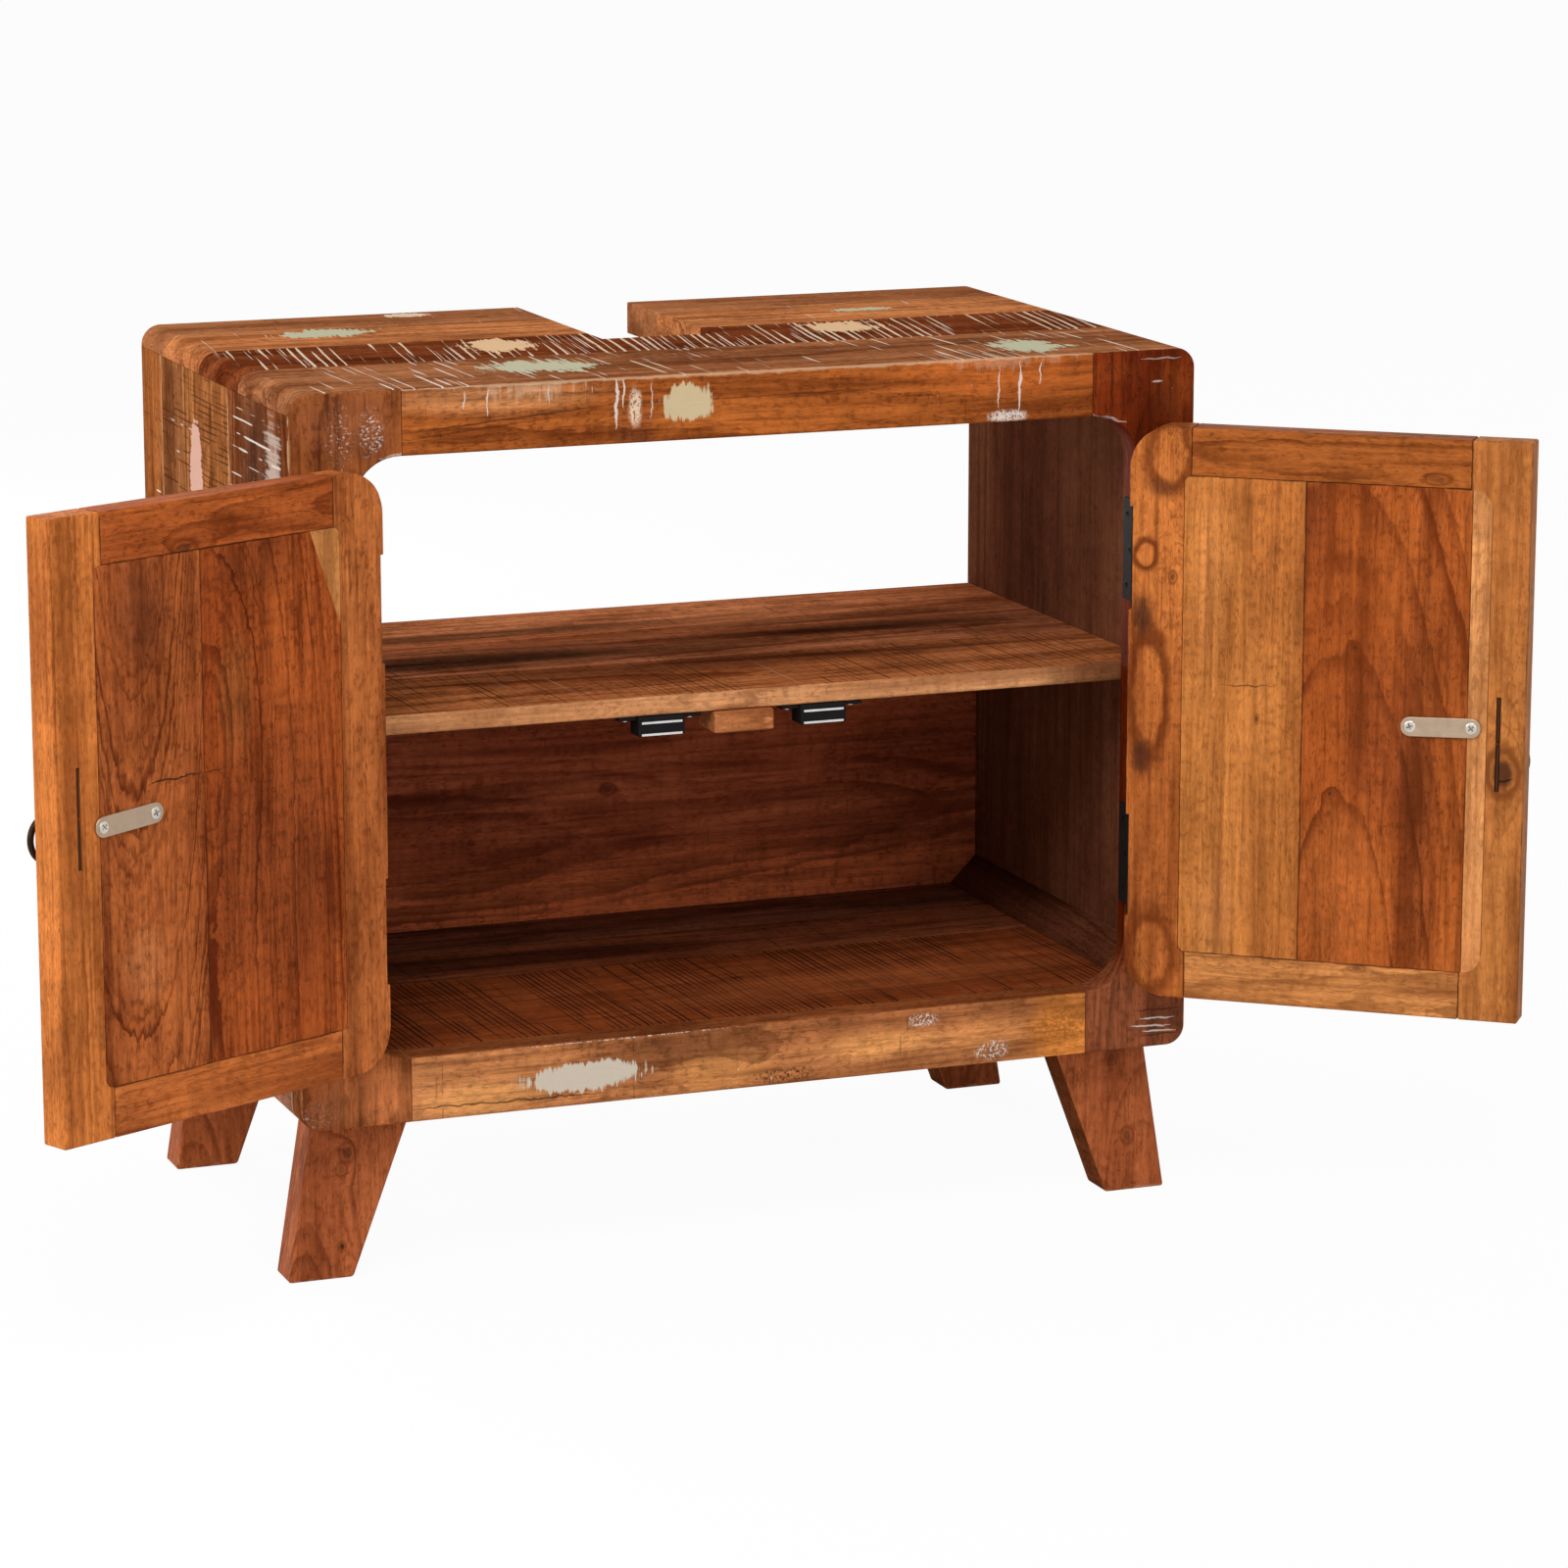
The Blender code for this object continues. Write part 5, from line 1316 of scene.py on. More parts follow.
# Tone of the legs' inward faces: the leg wood darkened as painted shade under the cabinet.
LEG_SHADED_INNER_TONE = (0.150, 0.044, 0.0150)
LEG_FIGURE = {"contrast": 0.85, "rings": 0.006}
LEG_WEAR = 0.0035
LEG_SEED = 31.5
LEG_SEED_STEP = 1.7
LEG_SHADED_SEED_SHIFT = 0.5
LEG_KNOT_STRETCH = 1.3
LEG_KNOTS = {
    "front_left": [
        ((-0.262, 0.082), 0.0045, 0.7),
        ((-0.266, 0.071), 0.003, 0.4),
        ((-0.2665, 0.021), 0.0022, 0.95),
    ],
    "front_right": [((0.262, 0.092), 0.0035, 0.6), ((0.274, 0.038), 0.004, 0.5)],
    "back_left": [((-0.270, 0.060), 0.004, 0.5)], "back_right": [((0.265, 0.075), 0.004, 0.5)],
}


def build_leg(row, side, seed):
    sign = SIDE_SIGN[side]
    name = f"{row}_{side}_leg"
    low, high = node_span(name)
    outline = [
        (sign * LEG_FOOT_OUTER, low.z),
        (sign * LEG_TOP_OUTER, high.z),
        (sign * (LEG_TOP_OUTER - LEG_TOP_WIDTH), high.z),
        (sign * (LEG_FOOT_OUTER - LEG_FOOT_WIDTH), low.z),
    ]
    bm = slab("Y", outline, low.y, high.y)
    soften(bm, LEG_ARRIS)
    marks = [wear(0.4, LEG_WEAR)]
    for (x, z), size, depth in LEG_KNOTS[f"{row}_{side}"]:
        marks.append(knot((x, low.y, z), size, LEG_KNOT_STRETCH, depth))
    figure = {"lean": 0.25, "trunk": (sign * 0.03, 0.04), "warp": 0.008, **LEG_FIGURE}
    outer = wood(name + "_wood", Board(CARCASS, low, high, "ZX"), LEG_TONE, seed, marks, **figure)
    # The inward faces get a darker copy of the leg's wood, as painted shade.
    shaded_inner_board = Board(CARCASS, low, high, "ZY")
    marks = [wear(0.3, LEG_WEAR)]
    inner = wood(
        name + "_inner_painted_shade_wood", shaded_inner_board, LEG_SHADED_INNER_TONE, seed + LEG_SHADED_SEED_SHIFT, marks, shine=0.0,
        **LEG_FIGURE,
    )
    # Faces turned in under the cabinet take the painted-shade copy.
    coats = [(outer, everywhere), (inner, lambda face: face.normal.x * sign < -LEG_FACING)]
    add_carcass_piece(name + "_wood", "leg_wood", name, (bm, coats))


def build_carcass():
    build_top()
    build_base()
    for side, sign in SIDE_SIGN.items():
        build_stile(side, sign, build_side(side, sign))
    build_rails()
    build_shelf()
    build_floor()
    build_back_panel()
    build_stop_block()
    build_corner_strips()
    for number, name in enumerate(LEG_KNOTS):
        row, side = name.split("_")
        build_leg(row, side, LEG_SEED + LEG_SEED_STEP * number)


class Door:
    """One door: its boards are given by along and z, seen from inside."""

    def __init__(self, side, seed=0.0):
        self.side = side
        self.seed = seed
        self.sign = SIDE_SIGN[side]
        self.place = DOORS[side]
        (self.start, self.stile_end), self.height, (self.low_in, self.high_in) = self.span("hinge_stile")
        self.free_start, self.end = self.span("free_stile")[0]
        (_, self.joint), self.panel, _ = self.span("hinge_side_board")
        self.hinge_edge, self.free_edge = PANEL_AT_HINGE, PANEL_AT_FREE[side]

    def span(self, name):
        """Least and greatest along, z and in of a CAD board of this door."""
        low, high = node_span(f"{self.side}_door_{name}", self.place)
        along = sorted((-self.sign * low.x, -self.sign * high.x))
        return along, (low.z, high.z), (low.y, high.y)

    def point(self, along, z):
        return (-self.sign * along, self.high_in, z)

    def lengths(self, along, z):
        return (along, 0.0, z)

    def outline(self, points):
        """A board of this door from a few points, given by along and z."""
        return slab("Y", [(-self.sign * along, z) for along, z in points], self.low_in, self.high_in)

    def round_corner(self, bm, along, z, radius):
        round_corner(bm, "Y", (-self.sign * along, z), radius)

    def board(self, along, z, grain):
        first, last = sorted((-self.sign * along[0], -self.sign * along[1]))
        low, high = (first, self.low_in, z[0]), (last, self.high_in, z[1])
        return Board(self.place, low, high, grain)

    def add(self, name, *parts):
        node = f"{self.side}_door_{name}"
        add_piece(node + "_wood", self.place, self.side + "_door", [node], parts)


def door_marks(door, entries):
    """Features of a door board, written with along and z."""
    made = []
    for kind, along, z, *rest in entries:
        point = door.point(along, z)
        if kind == "knot":
            made.append(knot(point, *rest))
        elif kind == "stain":
            half, tone, *more = rest
            made.append(stain(point, door.lengths(*half), tone, *more))
        elif kind == "crack":
            (end_along, end_z), *more = rest
            made.append(crack(point, door.point(end_along, end_z), *more))
    return made


DOOR_LOOKS = {
    "left": {
        "hinge_stile": {
            "tone": (0.385, 0.107, 0.0260),
            "figure": {"rings": 0.0035, "lean": 0.02, "trunk": (0.0, 0.05), "warp": 0.006}, "marks": [],
        },
        "free_stile": {
            "tone": (0.430, 0.122, 0.0255),
            "figure": {
                "rings": 0.0035, "lean": 0.01, "trunk": (0.05, 0.03), "warp": 0.004, "contrast": 0.8,
            },
            "marks": [("crack", 0.2183, 0.522, (0.2185, 0.489), 0.0032, BLACK_LINE, 0.95, 0.002)],
        },
        "top_rail": {
            "tone": (0.338, 0.078, 0.0158),
            "figure": {"rings": 0.004, "lean": 0.06, "trunk": (0.0, 0.04), "warp": 0.012},
            "marks": [("knot", 0.157, 0.493, 0.004, 2.2, 0.7)],
        },
        "bottom_rail": {
            "tone": (0.445, 0.123, 0.0288),
            "figure": {"rings": 0.006, "lean": 0.08, "trunk": (0.02, 0.04), "warp": 0.016},
            "marks": [("crack", 0.0485, 0.190, (0.0475, 0.181), 0.0028, BLACK_LINE, 0.9, 0.002)],
        },
        "hinge_board": {
            "tone": (0.278, 0.056, 0.0105),
            "figure": {
                "rings": 0.0050, "lean": 0.16, "trunk": (0.058, 0.030), "warp": 0.012, "lines": 0.95,
            },
            "marks": [
                ("stain", 0.075, 0.300, (0.024, 0.080), (0.11, 0.024, 0.008), 0.45),
                ("stain", 0.105, 0.480, (0.030, 0.016), (0.15, 0.034, 0.010), 0.45),
                ("stain", 0.120, 0.400, (0.012, 0.035), (0.34, 0.10, 0.024), 0.55),
                ("stain", 0.120, 0.300, (0.020, 0.060), (0.13, 0.028, 0.008), 0.5),
                ("crack", 0.155, 0.3579, (0.128, 0.3582), 0.0008, DARK_WOOD, 0.8),
                ("knot", 0.142, 0.405, 0.024, 2.0, 0.0, 0.0),
            ],
        },
        "free_board": {
            "tone": (0.298, 0.072, 0.0168),
            "figure": {
                "rings": 0.0024, "lean": -0.14, "trunk": (0.012, 0.035), "warp": 0.007, "lines": 0.95,
            },
            "marks": [
                ("crack", 0.1895, 0.3575, (0.150, 0.3585), 0.0011, BLACK_LINE, 0.9),
                ("stain", 0.190, 0.460, (0.020, 0.030), (0.16, 0.042, 0.015), 0.5),
                ("stain", 0.195, 0.250, (0.015, 0.020), (0.38, 0.125, 0.040), 0.6),
            ],
        },
    },
    "right": {
        "hinge_stile": {
            "tone": (0.350, 0.095, 0.0193),
            "figure": {
                "rings": 0.009, "lean": 0.10, "trunk": (-0.004, 0.028), "warp": 0.012, "lines": 0.35,
            },
            "marks": [
                ("knot", 0.0270, 0.5030, 0.0120, 1.6, 0.0, 0.75),
                ("knot", 0.0120, 0.4390, 0.0065, 1.2, 0.0, 0.85),
                ("knot", 0.0150, 0.3480, 0.0105, 3.4, 0.0, 0.80),
                ("knot", 0.0180, 0.1790, 0.0130, 1.7, 0.0, 0.70),
                ("knot", 0.0300, 0.4250, 0.0024, 1.5, 0.6),
                ("stain", 0.0105, 0.400, (0.006, 0.012), (0.055, 0.016, 0.007), 0.85, 0.6),
                ("stain", 0.0110, 0.308, (0.006, 0.010), (0.070, 0.020, 0.008), 0.8, 0.6),
                ("stain", 0.0220, 0.482, (0.008, 0.005), (0.090, 0.026, 0.010), 0.6, 0.6),
            ],
        },
        "free_stile": {
            "tone": (0.392, 0.134, 0.0320),
            "figure": {"rings": 0.005, "lean": 0.03, "trunk": (0.01, 0.04), "warp": 0.008, "contrast": 0.8},
            "marks": [
                ("knot", 0.2440, 0.3120, 0.0090, 1.4, 0.9, 0.9),
                ("crack", 0.2405, 0.306, (0.2500, 0.3085), 0.0016, BLACK_LINE, 0.9),
            ],
        },
        "top_rail": {
            "tone": (0.303, 0.084, 0.0158),
            "figure": {"rings": 0.0045, "lean": 0.03, "trunk": (0.0, 0.03), "warp": 0.010, "lines": 0.95},
            "marks": [("knot", 0.198, 0.496, 0.003, 2.5, 0.4)],
        },
        "bottom_rail": {
            "tone": (0.440, 0.161, 0.0445),
            "figure": {
                "rings": 0.0045, "lean": 0.05, "trunk": (-0.01, 0.04), "warp": 0.014, "contrast": 0.75,
            },
            "marks": [("knot", 0.154, 0.179, 0.0022, 2.0, 0.6)],
        },
        "hinge_board": {
            "tone": (0.390, 0.126, 0.027),
            "figure": {
                "rings": 0.008, "lean": 0.02, "trunk": (0.05, 0.03), "warp": 0.016, "contrast": 0.8,
                "lines": 0.3,
            },
            "marks": [
                ("stain", 0.070, 0.478, (0.036, 0.010), (0.30, 0.092, 0.020), 0.55),
                ("stain", 0.100, 0.400, (0.018, 0.020), (0.33, 0.105, 0.024), 0.5),
                ("stain", 0.060, 0.205, (0.012, 0.030), (0.34, 0.130, 0.040), 0.45),
                ("stain", 0.095, 0.450, (0.016, 0.06), (0.36, 0.105, 0.022), 0.6),
                ("stain", 0.055, 0.430, (0.010, 0.05), (0.52, 0.19, 0.05), 0.5),
                ("crack", 0.062, 0.3574, (0.097, 0.3585), 0.0009, (0.14, 0.04, 0.012), 0.8),
                ("knot", 0.086, 0.337, 0.0014, 2.0, 0.8),
            ],
        },
        "free_board": {
            "tone": (0.308, 0.071, 0.0125),
            "figure": {
                "rings": 0.0075, "lean": 0.22, "trunk": (0.030, 0.045), "warp": 0.012, "lines": 0.9,
                "contrast": 0.95,
            },
            "marks": [
                ("stain", 0.140, 0.230, (0.030, 0.050), (0.43, 0.115, 0.024), 0.55),
                ("stain", 0.190, 0.300, (0.012, 0.120), (0.15, 0.034, 0.009), 0.45),
                ("knot", 0.1343, 0.2915, 0.0022, 1.2, 0.95),
                ("knot", 0.1333, 0.2787, 0.0015, 1.2, 0.8),
                ("knot", 0.1480, 0.3865, 0.0018, 1.2, 0.85),
                ("knot", 0.1370, 0.1860, 0.0030, 1.5, 0.5),
                ("stain", 0.165, 0.330, (0.022, 0.05), (0.20, 0.042, 0.010), 0.55),
                ("stain", 0.120, 0.470, (0.010, 0.03), (0.19, 0.040, 0.010), 0.5),
            ],
        },
    },
}


OUTER_PATCHES = {
    "left": {
        "hinge_board": (0.085, 0.400, (0.016, 0.034), PEACH),
        "free_board": (0.195, 0.250, (0.012, 0.030), PALE_GREEN),
        "top_rail": (0.120, 0.507, (0.030, 0.008), GREY_CREAM),
    },
    "right": {
        "hinge_board": (0.070, 0.260, (0.014, 0.036), PALE_GREEN),
        "free_board": (0.165, 0.420, (0.020, 0.026), PINK),
        "bottom_rail": (0.110, 0.166, (0.034, 0.008), CREAM),
    },
}


def outer_marks(door, name, grain):
    """The saw lines and old paint on a door's outer face."""
    face = -1 if grain == "ZX" else 1
    marks = [
        saw(DARK_WOOD, 0.6, 0.0052, 0.50, 0.040, 0.18, 0.2, face),
        saw(WHITE_WASH, 0.9, 0.0120, 0.40, 0.030, 0.11, 0.7, face),
    ]
    if name in OUTER_PATCHES[door.side]:
        along, z, half, tone = OUTER_PATCHES[door.side][name]
        marks.append(patch(door.point(along, z), door.lengths(*half), tone, 1.2, face=face))
    return marks


DOOR_SEED = {"left": 41.3, "right": 53.9}

# Seeds of the woods of one door, from the door's own
DOOR_SEEDS = {
    "hinge_stile": 0.0, "free_stile": 1.1, "top_rail": 2.3, "bottom_rail": 3.1, "hinge_board": 4.7,
    "free_board": 5.9, "pale_strip": 6.7, "sapwood": 7.9,
}
DOOR_WEAR = 0.0009
SAPWOOD_TONE = (0.44, 0.165, 0.045)
PALE_STRIP_TONE = (0.50, 0.195, 0.062)
PALE_FIGURE = {"contrast": 0.7, "rings": 0.003, "lean": 0.01}


def door_wood(door, name, along, z, grain):
    looks = DOOR_LOOKS[door.side][name]
    marks = door_marks(door, looks["marks"]) + outer_marks(door, name, grain)
    marks.append(wear(0.6, DOOR_WEAR, DARK_WOOD))
    full_name = f"{door.side}_door_{name}_wood"
    seed = door.seed + DOOR_SEEDS[name]
    return wood(full_name, door.board(along, z, grain), looks["tone"], seed, marks, **looks["figure"])


def cut_groove(bm, door):
    """The groove in a free stile's inner face that the ring's pin is bent into."""
    middle_x = -door.sign * (door.end - EYE_FROM_FREE_EDGE)
    middle_z = EYE_Z[door.side]
    for axis, middle, half in (("X", middle_x, GROOVE_HALF_WIDTH), ("Z", middle_z, GROOVE_HALF_LENGTH)):
        for edge in (middle - half, middle + half):
            geometry = [*bm.verts, *bm.edges, *bm.faces]
            bmesh.ops.bisect_plane(bm, geom=geometry, plane_co=AXES[axis] * edge, plane_no=AXES[axis])
    sunk = []
    for face in bm.faces:
        middle = face.calc_center_median()
        off_x, off_z = abs(middle.x - middle_x), abs(middle.z - middle_z)
        inside = off_x < GROOVE_HALF_WIDTH and off_z < GROOVE_HALF_LENGTH
        if inside and face.normal.y > SQUARE_ON:
            sunk.append(face)
    grown = bmesh.ops.extrude_discrete_faces(bm, faces=sunk)
    floor = list({vertex for face in grown["faces"] for vertex in face.verts})
    bmesh.ops.translate(bm, verts=floor, vec=(0.0, -GROOVE_DEPTH, 0.0))
    bmesh.ops.recalc_face_normals(bm, faces=bm.faces)


def is_on_sapwood_line(door, middle, near, panel_high):
    """Whether a point is on the slanted line between the left door's heartwood and its wedge of sapwood."""
    along = -door.sign * middle.x
    share = (middle.z - SAPWOOD_LOW_Z) / (panel_high - SAPWOOD_LOW_Z)
    line = near + share * (SAPWOOD_ALONG - near)
    return door.side == "left" and is_between(share, 0.0, 1.0) and abs(along - line) < NEAR


def is_at_door_end(middle):
    """Whether a point is near a door's upper or lower edge."""
    return abs(middle.z - DOOR_MIDDLE_Z) > DOOR_END_REACH


def build_hinge_stile(door):
    start, end, edge = door.start, door.stile_end, door.hinge_edge
    (low_z, high_z), (panel_low, panel_high) = door.height, door.panel
    points = [(start, low_z), (end, low_z), (end, panel_low), (edge, panel_low)]
    points += [(edge, panel_high), (end, panel_high), (end, high_z), (start, high_z)]
    for middle in reversed(HINGE_HEIGHTS):
        top, bottom = middle + MORTISE_HALF, middle - MORTISE_HALF
        points += [(start, top), (MORTISE_ALONG, top), (MORTISE_ALONG, bottom), (start, bottom)]
    bm = door.outline(points)
    for z in door.height:
        door.round_corner(bm, start, z, DOOR_RADIUS)
    for z in door.panel:
        door.round_corner(bm, edge, z, end - edge - NEAR)
    reach = MORTISE_ALONG + NEAR
    soften(bm, HINGE_STILE_ARRIS, lambda middle: -door.sign * middle.x < reach or is_at_door_end(middle))
    soften(bm, SMALL_ARRIS)
    material = door_wood(door, "hinge_stile", (start, end), door.height, "ZX")
    door.add("hinge_stile", plain(bm, material))


def build_free_stile(door):
    start, end, edge = door.free_start, door.end, door.free_edge
    (low_z, high_z), (panel_low, panel_high) = door.height, door.panel
    points = [(end, low_z), (end, high_z), (start, high_z), (start, panel_high), (edge, panel_high)]
    points += [(edge, panel_low), (start, panel_low), (start, low_z)]
    bm = door.outline(points)
    for z in door.panel:
        door.round_corner(bm, edge, z, edge - start - NEAR)
    soften(bm, DOOR_ARRIS, lambda middle: -door.sign * middle.x > end - NEAR or is_at_door_end(middle))
    soften(bm, SMALL_ARRIS)
    cut_groove(bm, door)
    material = door_wood(door, "free_stile", (start, end), door.height, "ZX")
    door.add("free_stile", plain(bm, material))


def build_door_rails(door):
    for name, outer_z in zip(("top_rail", "bottom_rail"), reversed(door.height)):
        along, z, _ = door.span(name)
        bm = door.outline(rectangle(*along, *z))
        soften(bm, DOOR_ARRIS, lambda middle: abs(middle.z - outer_z) < NEAR)
        soften(bm, SMALL_ARRIS)
        door.add(name, plain(bm, door_wood(door, name, along, z, "XZ")))


def build_hinge_side_board(door):
    """The panel board at the hinges. The left door's has a wedge of pale sapwood in its upper corner."""
    low, high = door.panel
    corner = door.stile_end - door.hinge_edge
    near = door.hinge_edge + JOINT_GAP
    has_wedge = door.side == "left"
    points = [(near, low), (door.joint, low), (door.joint, high)]
    points += [(SAPWOOD_ALONG, high), (near, SAPWOOD_LOW_Z)] if has_wedge else [(near, high)]
    bm = door.outline(points)
    for z in door.panel:
        door.round_corner(bm, near, z, corner)
    soften(bm, SMALL_ARRIS, lambda middle: not is_on_sapwood_line(door, middle, near, high))
    parts = [plain(bm, door_wood(door, "hinge_board", (door.hinge_edge, door.joint), door.panel, "ZX"))]
    if has_wedge:
        bm = door.outline([(near, SAPWOOD_LOW_Z), (SAPWOOD_ALONG, high), (near, high)])
        door.round_corner(bm, near, high, corner)
        board = door.board((near, SAPWOOD_ALONG), (SAPWOOD_LOW_Z, high), "ZX")
        seed = door.seed + DOOR_SEEDS["sapwood"]
        parts.append(plain(bm, wood("left_door_sapwood", board, SAPWOOD_TONE, seed, **PALE_FIGURE)))
    door.add("hinge_side_board", *parts)


def build_free_side_board(door):
    """The panel board at the free edge. The right door's has a pale strip along that edge."""
    low, high = door.panel
    near, far = door.joint + JOINT_GAP, door.free_edge - JOINT_GAP
    has_strip = door.side == "right"
    end = PALE_STRIP_ALONG if has_strip else far
    bm = door.outline(rectangle(near, end, low, high))
    if not has_strip:
        for z in door.panel:
            door.round_corner(bm, end, z, door.free_edge - door.free_start)
    soften(bm, SMALL_ARRIS)
    parts = [plain(bm, door_wood(door, "free_board", (door.joint, end), door.panel, "ZX"))]
    if has_strip:
        start = end + JOINT_GAP / 2
        bm = door.outline(rectangle(start, far, low, high))
        for z in door.panel:
            door.round_corner(bm, far, z, far - start - NEAR)
        soften(bm, SMALL_ARRIS)
        board = door.board((end, far), door.panel, "ZX")
        seed = door.seed + DOOR_SEEDS["pale_strip"]
        strip = wood("right_door_pale_strip_wood", board, PALE_STRIP_TONE, seed, **PALE_FIGURE)
        parts.append(plain(bm, strip))
    door.add("free_side_board", *parts)


def build_door(side, seed):
    door = Door(side, seed)
    build_hinge_stile(door)
    build_free_stile(door)
    build_door_rails(door)
    build_hinge_side_board(door)
    build_free_side_board(door)


METAL_SPECKS = (1500.0, 1500.0, 1500.0)
METAL_CLOUDS = (140.0, 140.0, 140.0)
METAL_SPECKLE = 0.06
METAL_MATT_CHANGE = 0.8
METAL_GRAIN = 0.12
METAL_GRAIN_HEIGHT = 0.0002
METAL_SHINE = 0.05


def metal(name, tone, rough, metallic=1.0):
    """A metal or plastic with fine specks in its colour, gloss and surface."""
    material = bpy.data.materials.new(name)
    material.use_nodes = True
    tree = Tree(material.node_tree)
    shader = material.node_tree.nodes["Principled BSDF"]
    place = tree.put("ShaderNodeTexCoord").outputs["Object"]
    fine = tree.noise(place, METAL_SPECKS, 2.0)
    broad = tree.noise(place, METAL_CLOUDS, 3.0)
    specks, clouds = [tree.ease(noise, 0.3, 0.7, -METAL_SPECKLE, METAL_SPECKLE) for noise in (fine, broad)]
    change = tree.plus(specks, clouds)
    colour = tree.vector("MULTIPLY", tone, tree.plus(change, 1.0))
    tree.feed(shader.inputs["Base Color"], colour)
    tree.feed(shader.inputs["Roughness"], tree.plus(tree.times(change, METAL_MATT_CHANGE), rough))
    bump = tree.put(
        "ShaderNodeBump", {"Height": fine, "Strength": METAL_GRAIN, "Distance": METAL_GRAIN_HEIGHT},
    )
    tree.feed(shader.inputs["Normal"], bump.outputs["Normal"])
    shader.inputs["Metallic"].default_value = metallic
    shader.inputs["Specular IOR Level"].default_value = METAL_SHINE
    return material


METALS = {
    "black_steel": metal("black_steel_finish", (0.014, 0.012, 0.011), 0.48, 0.0),
    "nickel": metal("satin_nickel_finish", (0.45, 0.33, 0.235), 0.40),
    "zinc": metal("zinc_finish", (0.62, 0.58, 0.52), 0.30),
    "black_plastic": metal("black_plastic_finish", (0.010, 0.009, 0.009), 0.50, 0.0),
    "pole_steel": metal("pole_steel_finish", (0.66, 0.65, 0.63), 0.25),
    # The ring's split-pin eye is dark reddish-brown: partly its own dark metal, partly painted shade of the
    # groove it lies in.
    "eye_wire": metal("eye_wire_finish", (0.055, 0.021, 0.011), 0.45, 0.0),
    "dark_bronze": metal("dark_bronze_finish", (0.030, 0.017, 0.010), 0.30, 0.6),
}


def dress_cad_hardware():
    """Gives the hardware that keeps its CAD shape its metal or plastic."""
    for part in frame["record"]["subparts"]:
        if part["material_slot"] in METALS:
            node = frame["nodes"][part["node"]]
            # The eyes take the dark reddish-brown that carries painted shade.
            finish = "eye_wire" if part["node"].endswith("_eye") else part["material_slot"]
            node.data.materials.clear()
            node.data.materials.append(METALS[finish])


def cross_reach(angle):
    """How far a cross recess reaches from its middle at an angle, as a share of the head's radius."""
    quarter = math.pi / 2
    off = abs((angle + quarter / 2) % quarter - quarter / 2)
    return min(CROSS_LENGTH, CROSS_HALF_WIDTH / max(math.sin(off), SMALLEST_SINE))


def screw_head(matrix, radius, rise, sink):
    """A screw's head with a cross recess, standing on the matrix's XY plane."""
    bm = bmesh.new()
    bmesh.ops.create_circle(bm, cap_ends=False, segments=SCREW_STEPS, radius=radius)
    edges = bm.edges[:]
    outer = [(1.0, rise / 2, False), (SCREW_CROWN, rise, False)]
    recess = [(1.0, rise, True), (CROSS_FLOOR, rise - sink, True)]
    for share, z, crossed in outer + recess:
        grown = bmesh.ops.extrude_edge_only(bm, edges=edges)["geom"]
        fresh = {item for item in grown if isinstance(item, bmesh.types.BMVert)}
        edges = [edge for edge in bm.edges if all(vertex in fresh for vertex in edge.verts)]
        for vertex in fresh:
            angle = math.atan2(vertex.co.y, vertex.co.x)
            reach = radius * share * (cross_reach(angle) if crossed else 1.0)
            vertex.co = (reach * math.cos(angle), reach * math.sin(angle), z)
    bmesh.ops.holes_fill(bm, edges=[edge for edge in bm.edges if edge.is_boundary], sides=0)
    bmesh.ops.recalc_face_normals(bm, faces=bm.faces)
    bmesh.ops.transform(bm, matrix=matrix, verts=bm.verts)
    return bm


def build_ring(door):
    """The ring of a pull, a wire loop spun once round."""
    name = door.side + "_ring"
    low, high = node_span(name, door.place)
    middle = (low + high) / 2
    wire = (high.y - low.y) / 2
    radius = (high.z - low.z) / 2 - wire
    bm = bmesh.new()
    start = Matrix.Translation(middle + AXES["X"] * radius)
    bmesh.ops.create_circle(bm, segments=WIRE_STEPS, radius=wire, matrix=start)
    bmesh.ops.spin(
        bm, geom=bm.verts[:] + bm.edges[:], cent=middle, axis=AXES["Y"], angle=2 * math.pi,
        steps=RING_STEPS, use_merge=True,
    )
    bmesh.ops.remove_doubles(bm, verts=bm.verts, dist=NEAR / 10)
    bmesh.ops.recalc_face_normals(bm, faces=bm.faces)
    parts = [plain(bm, METALS["dark_bronze"])]
    add_piece(name + "_wire", door.place, door.side + "_ring_pull", [name], parts)


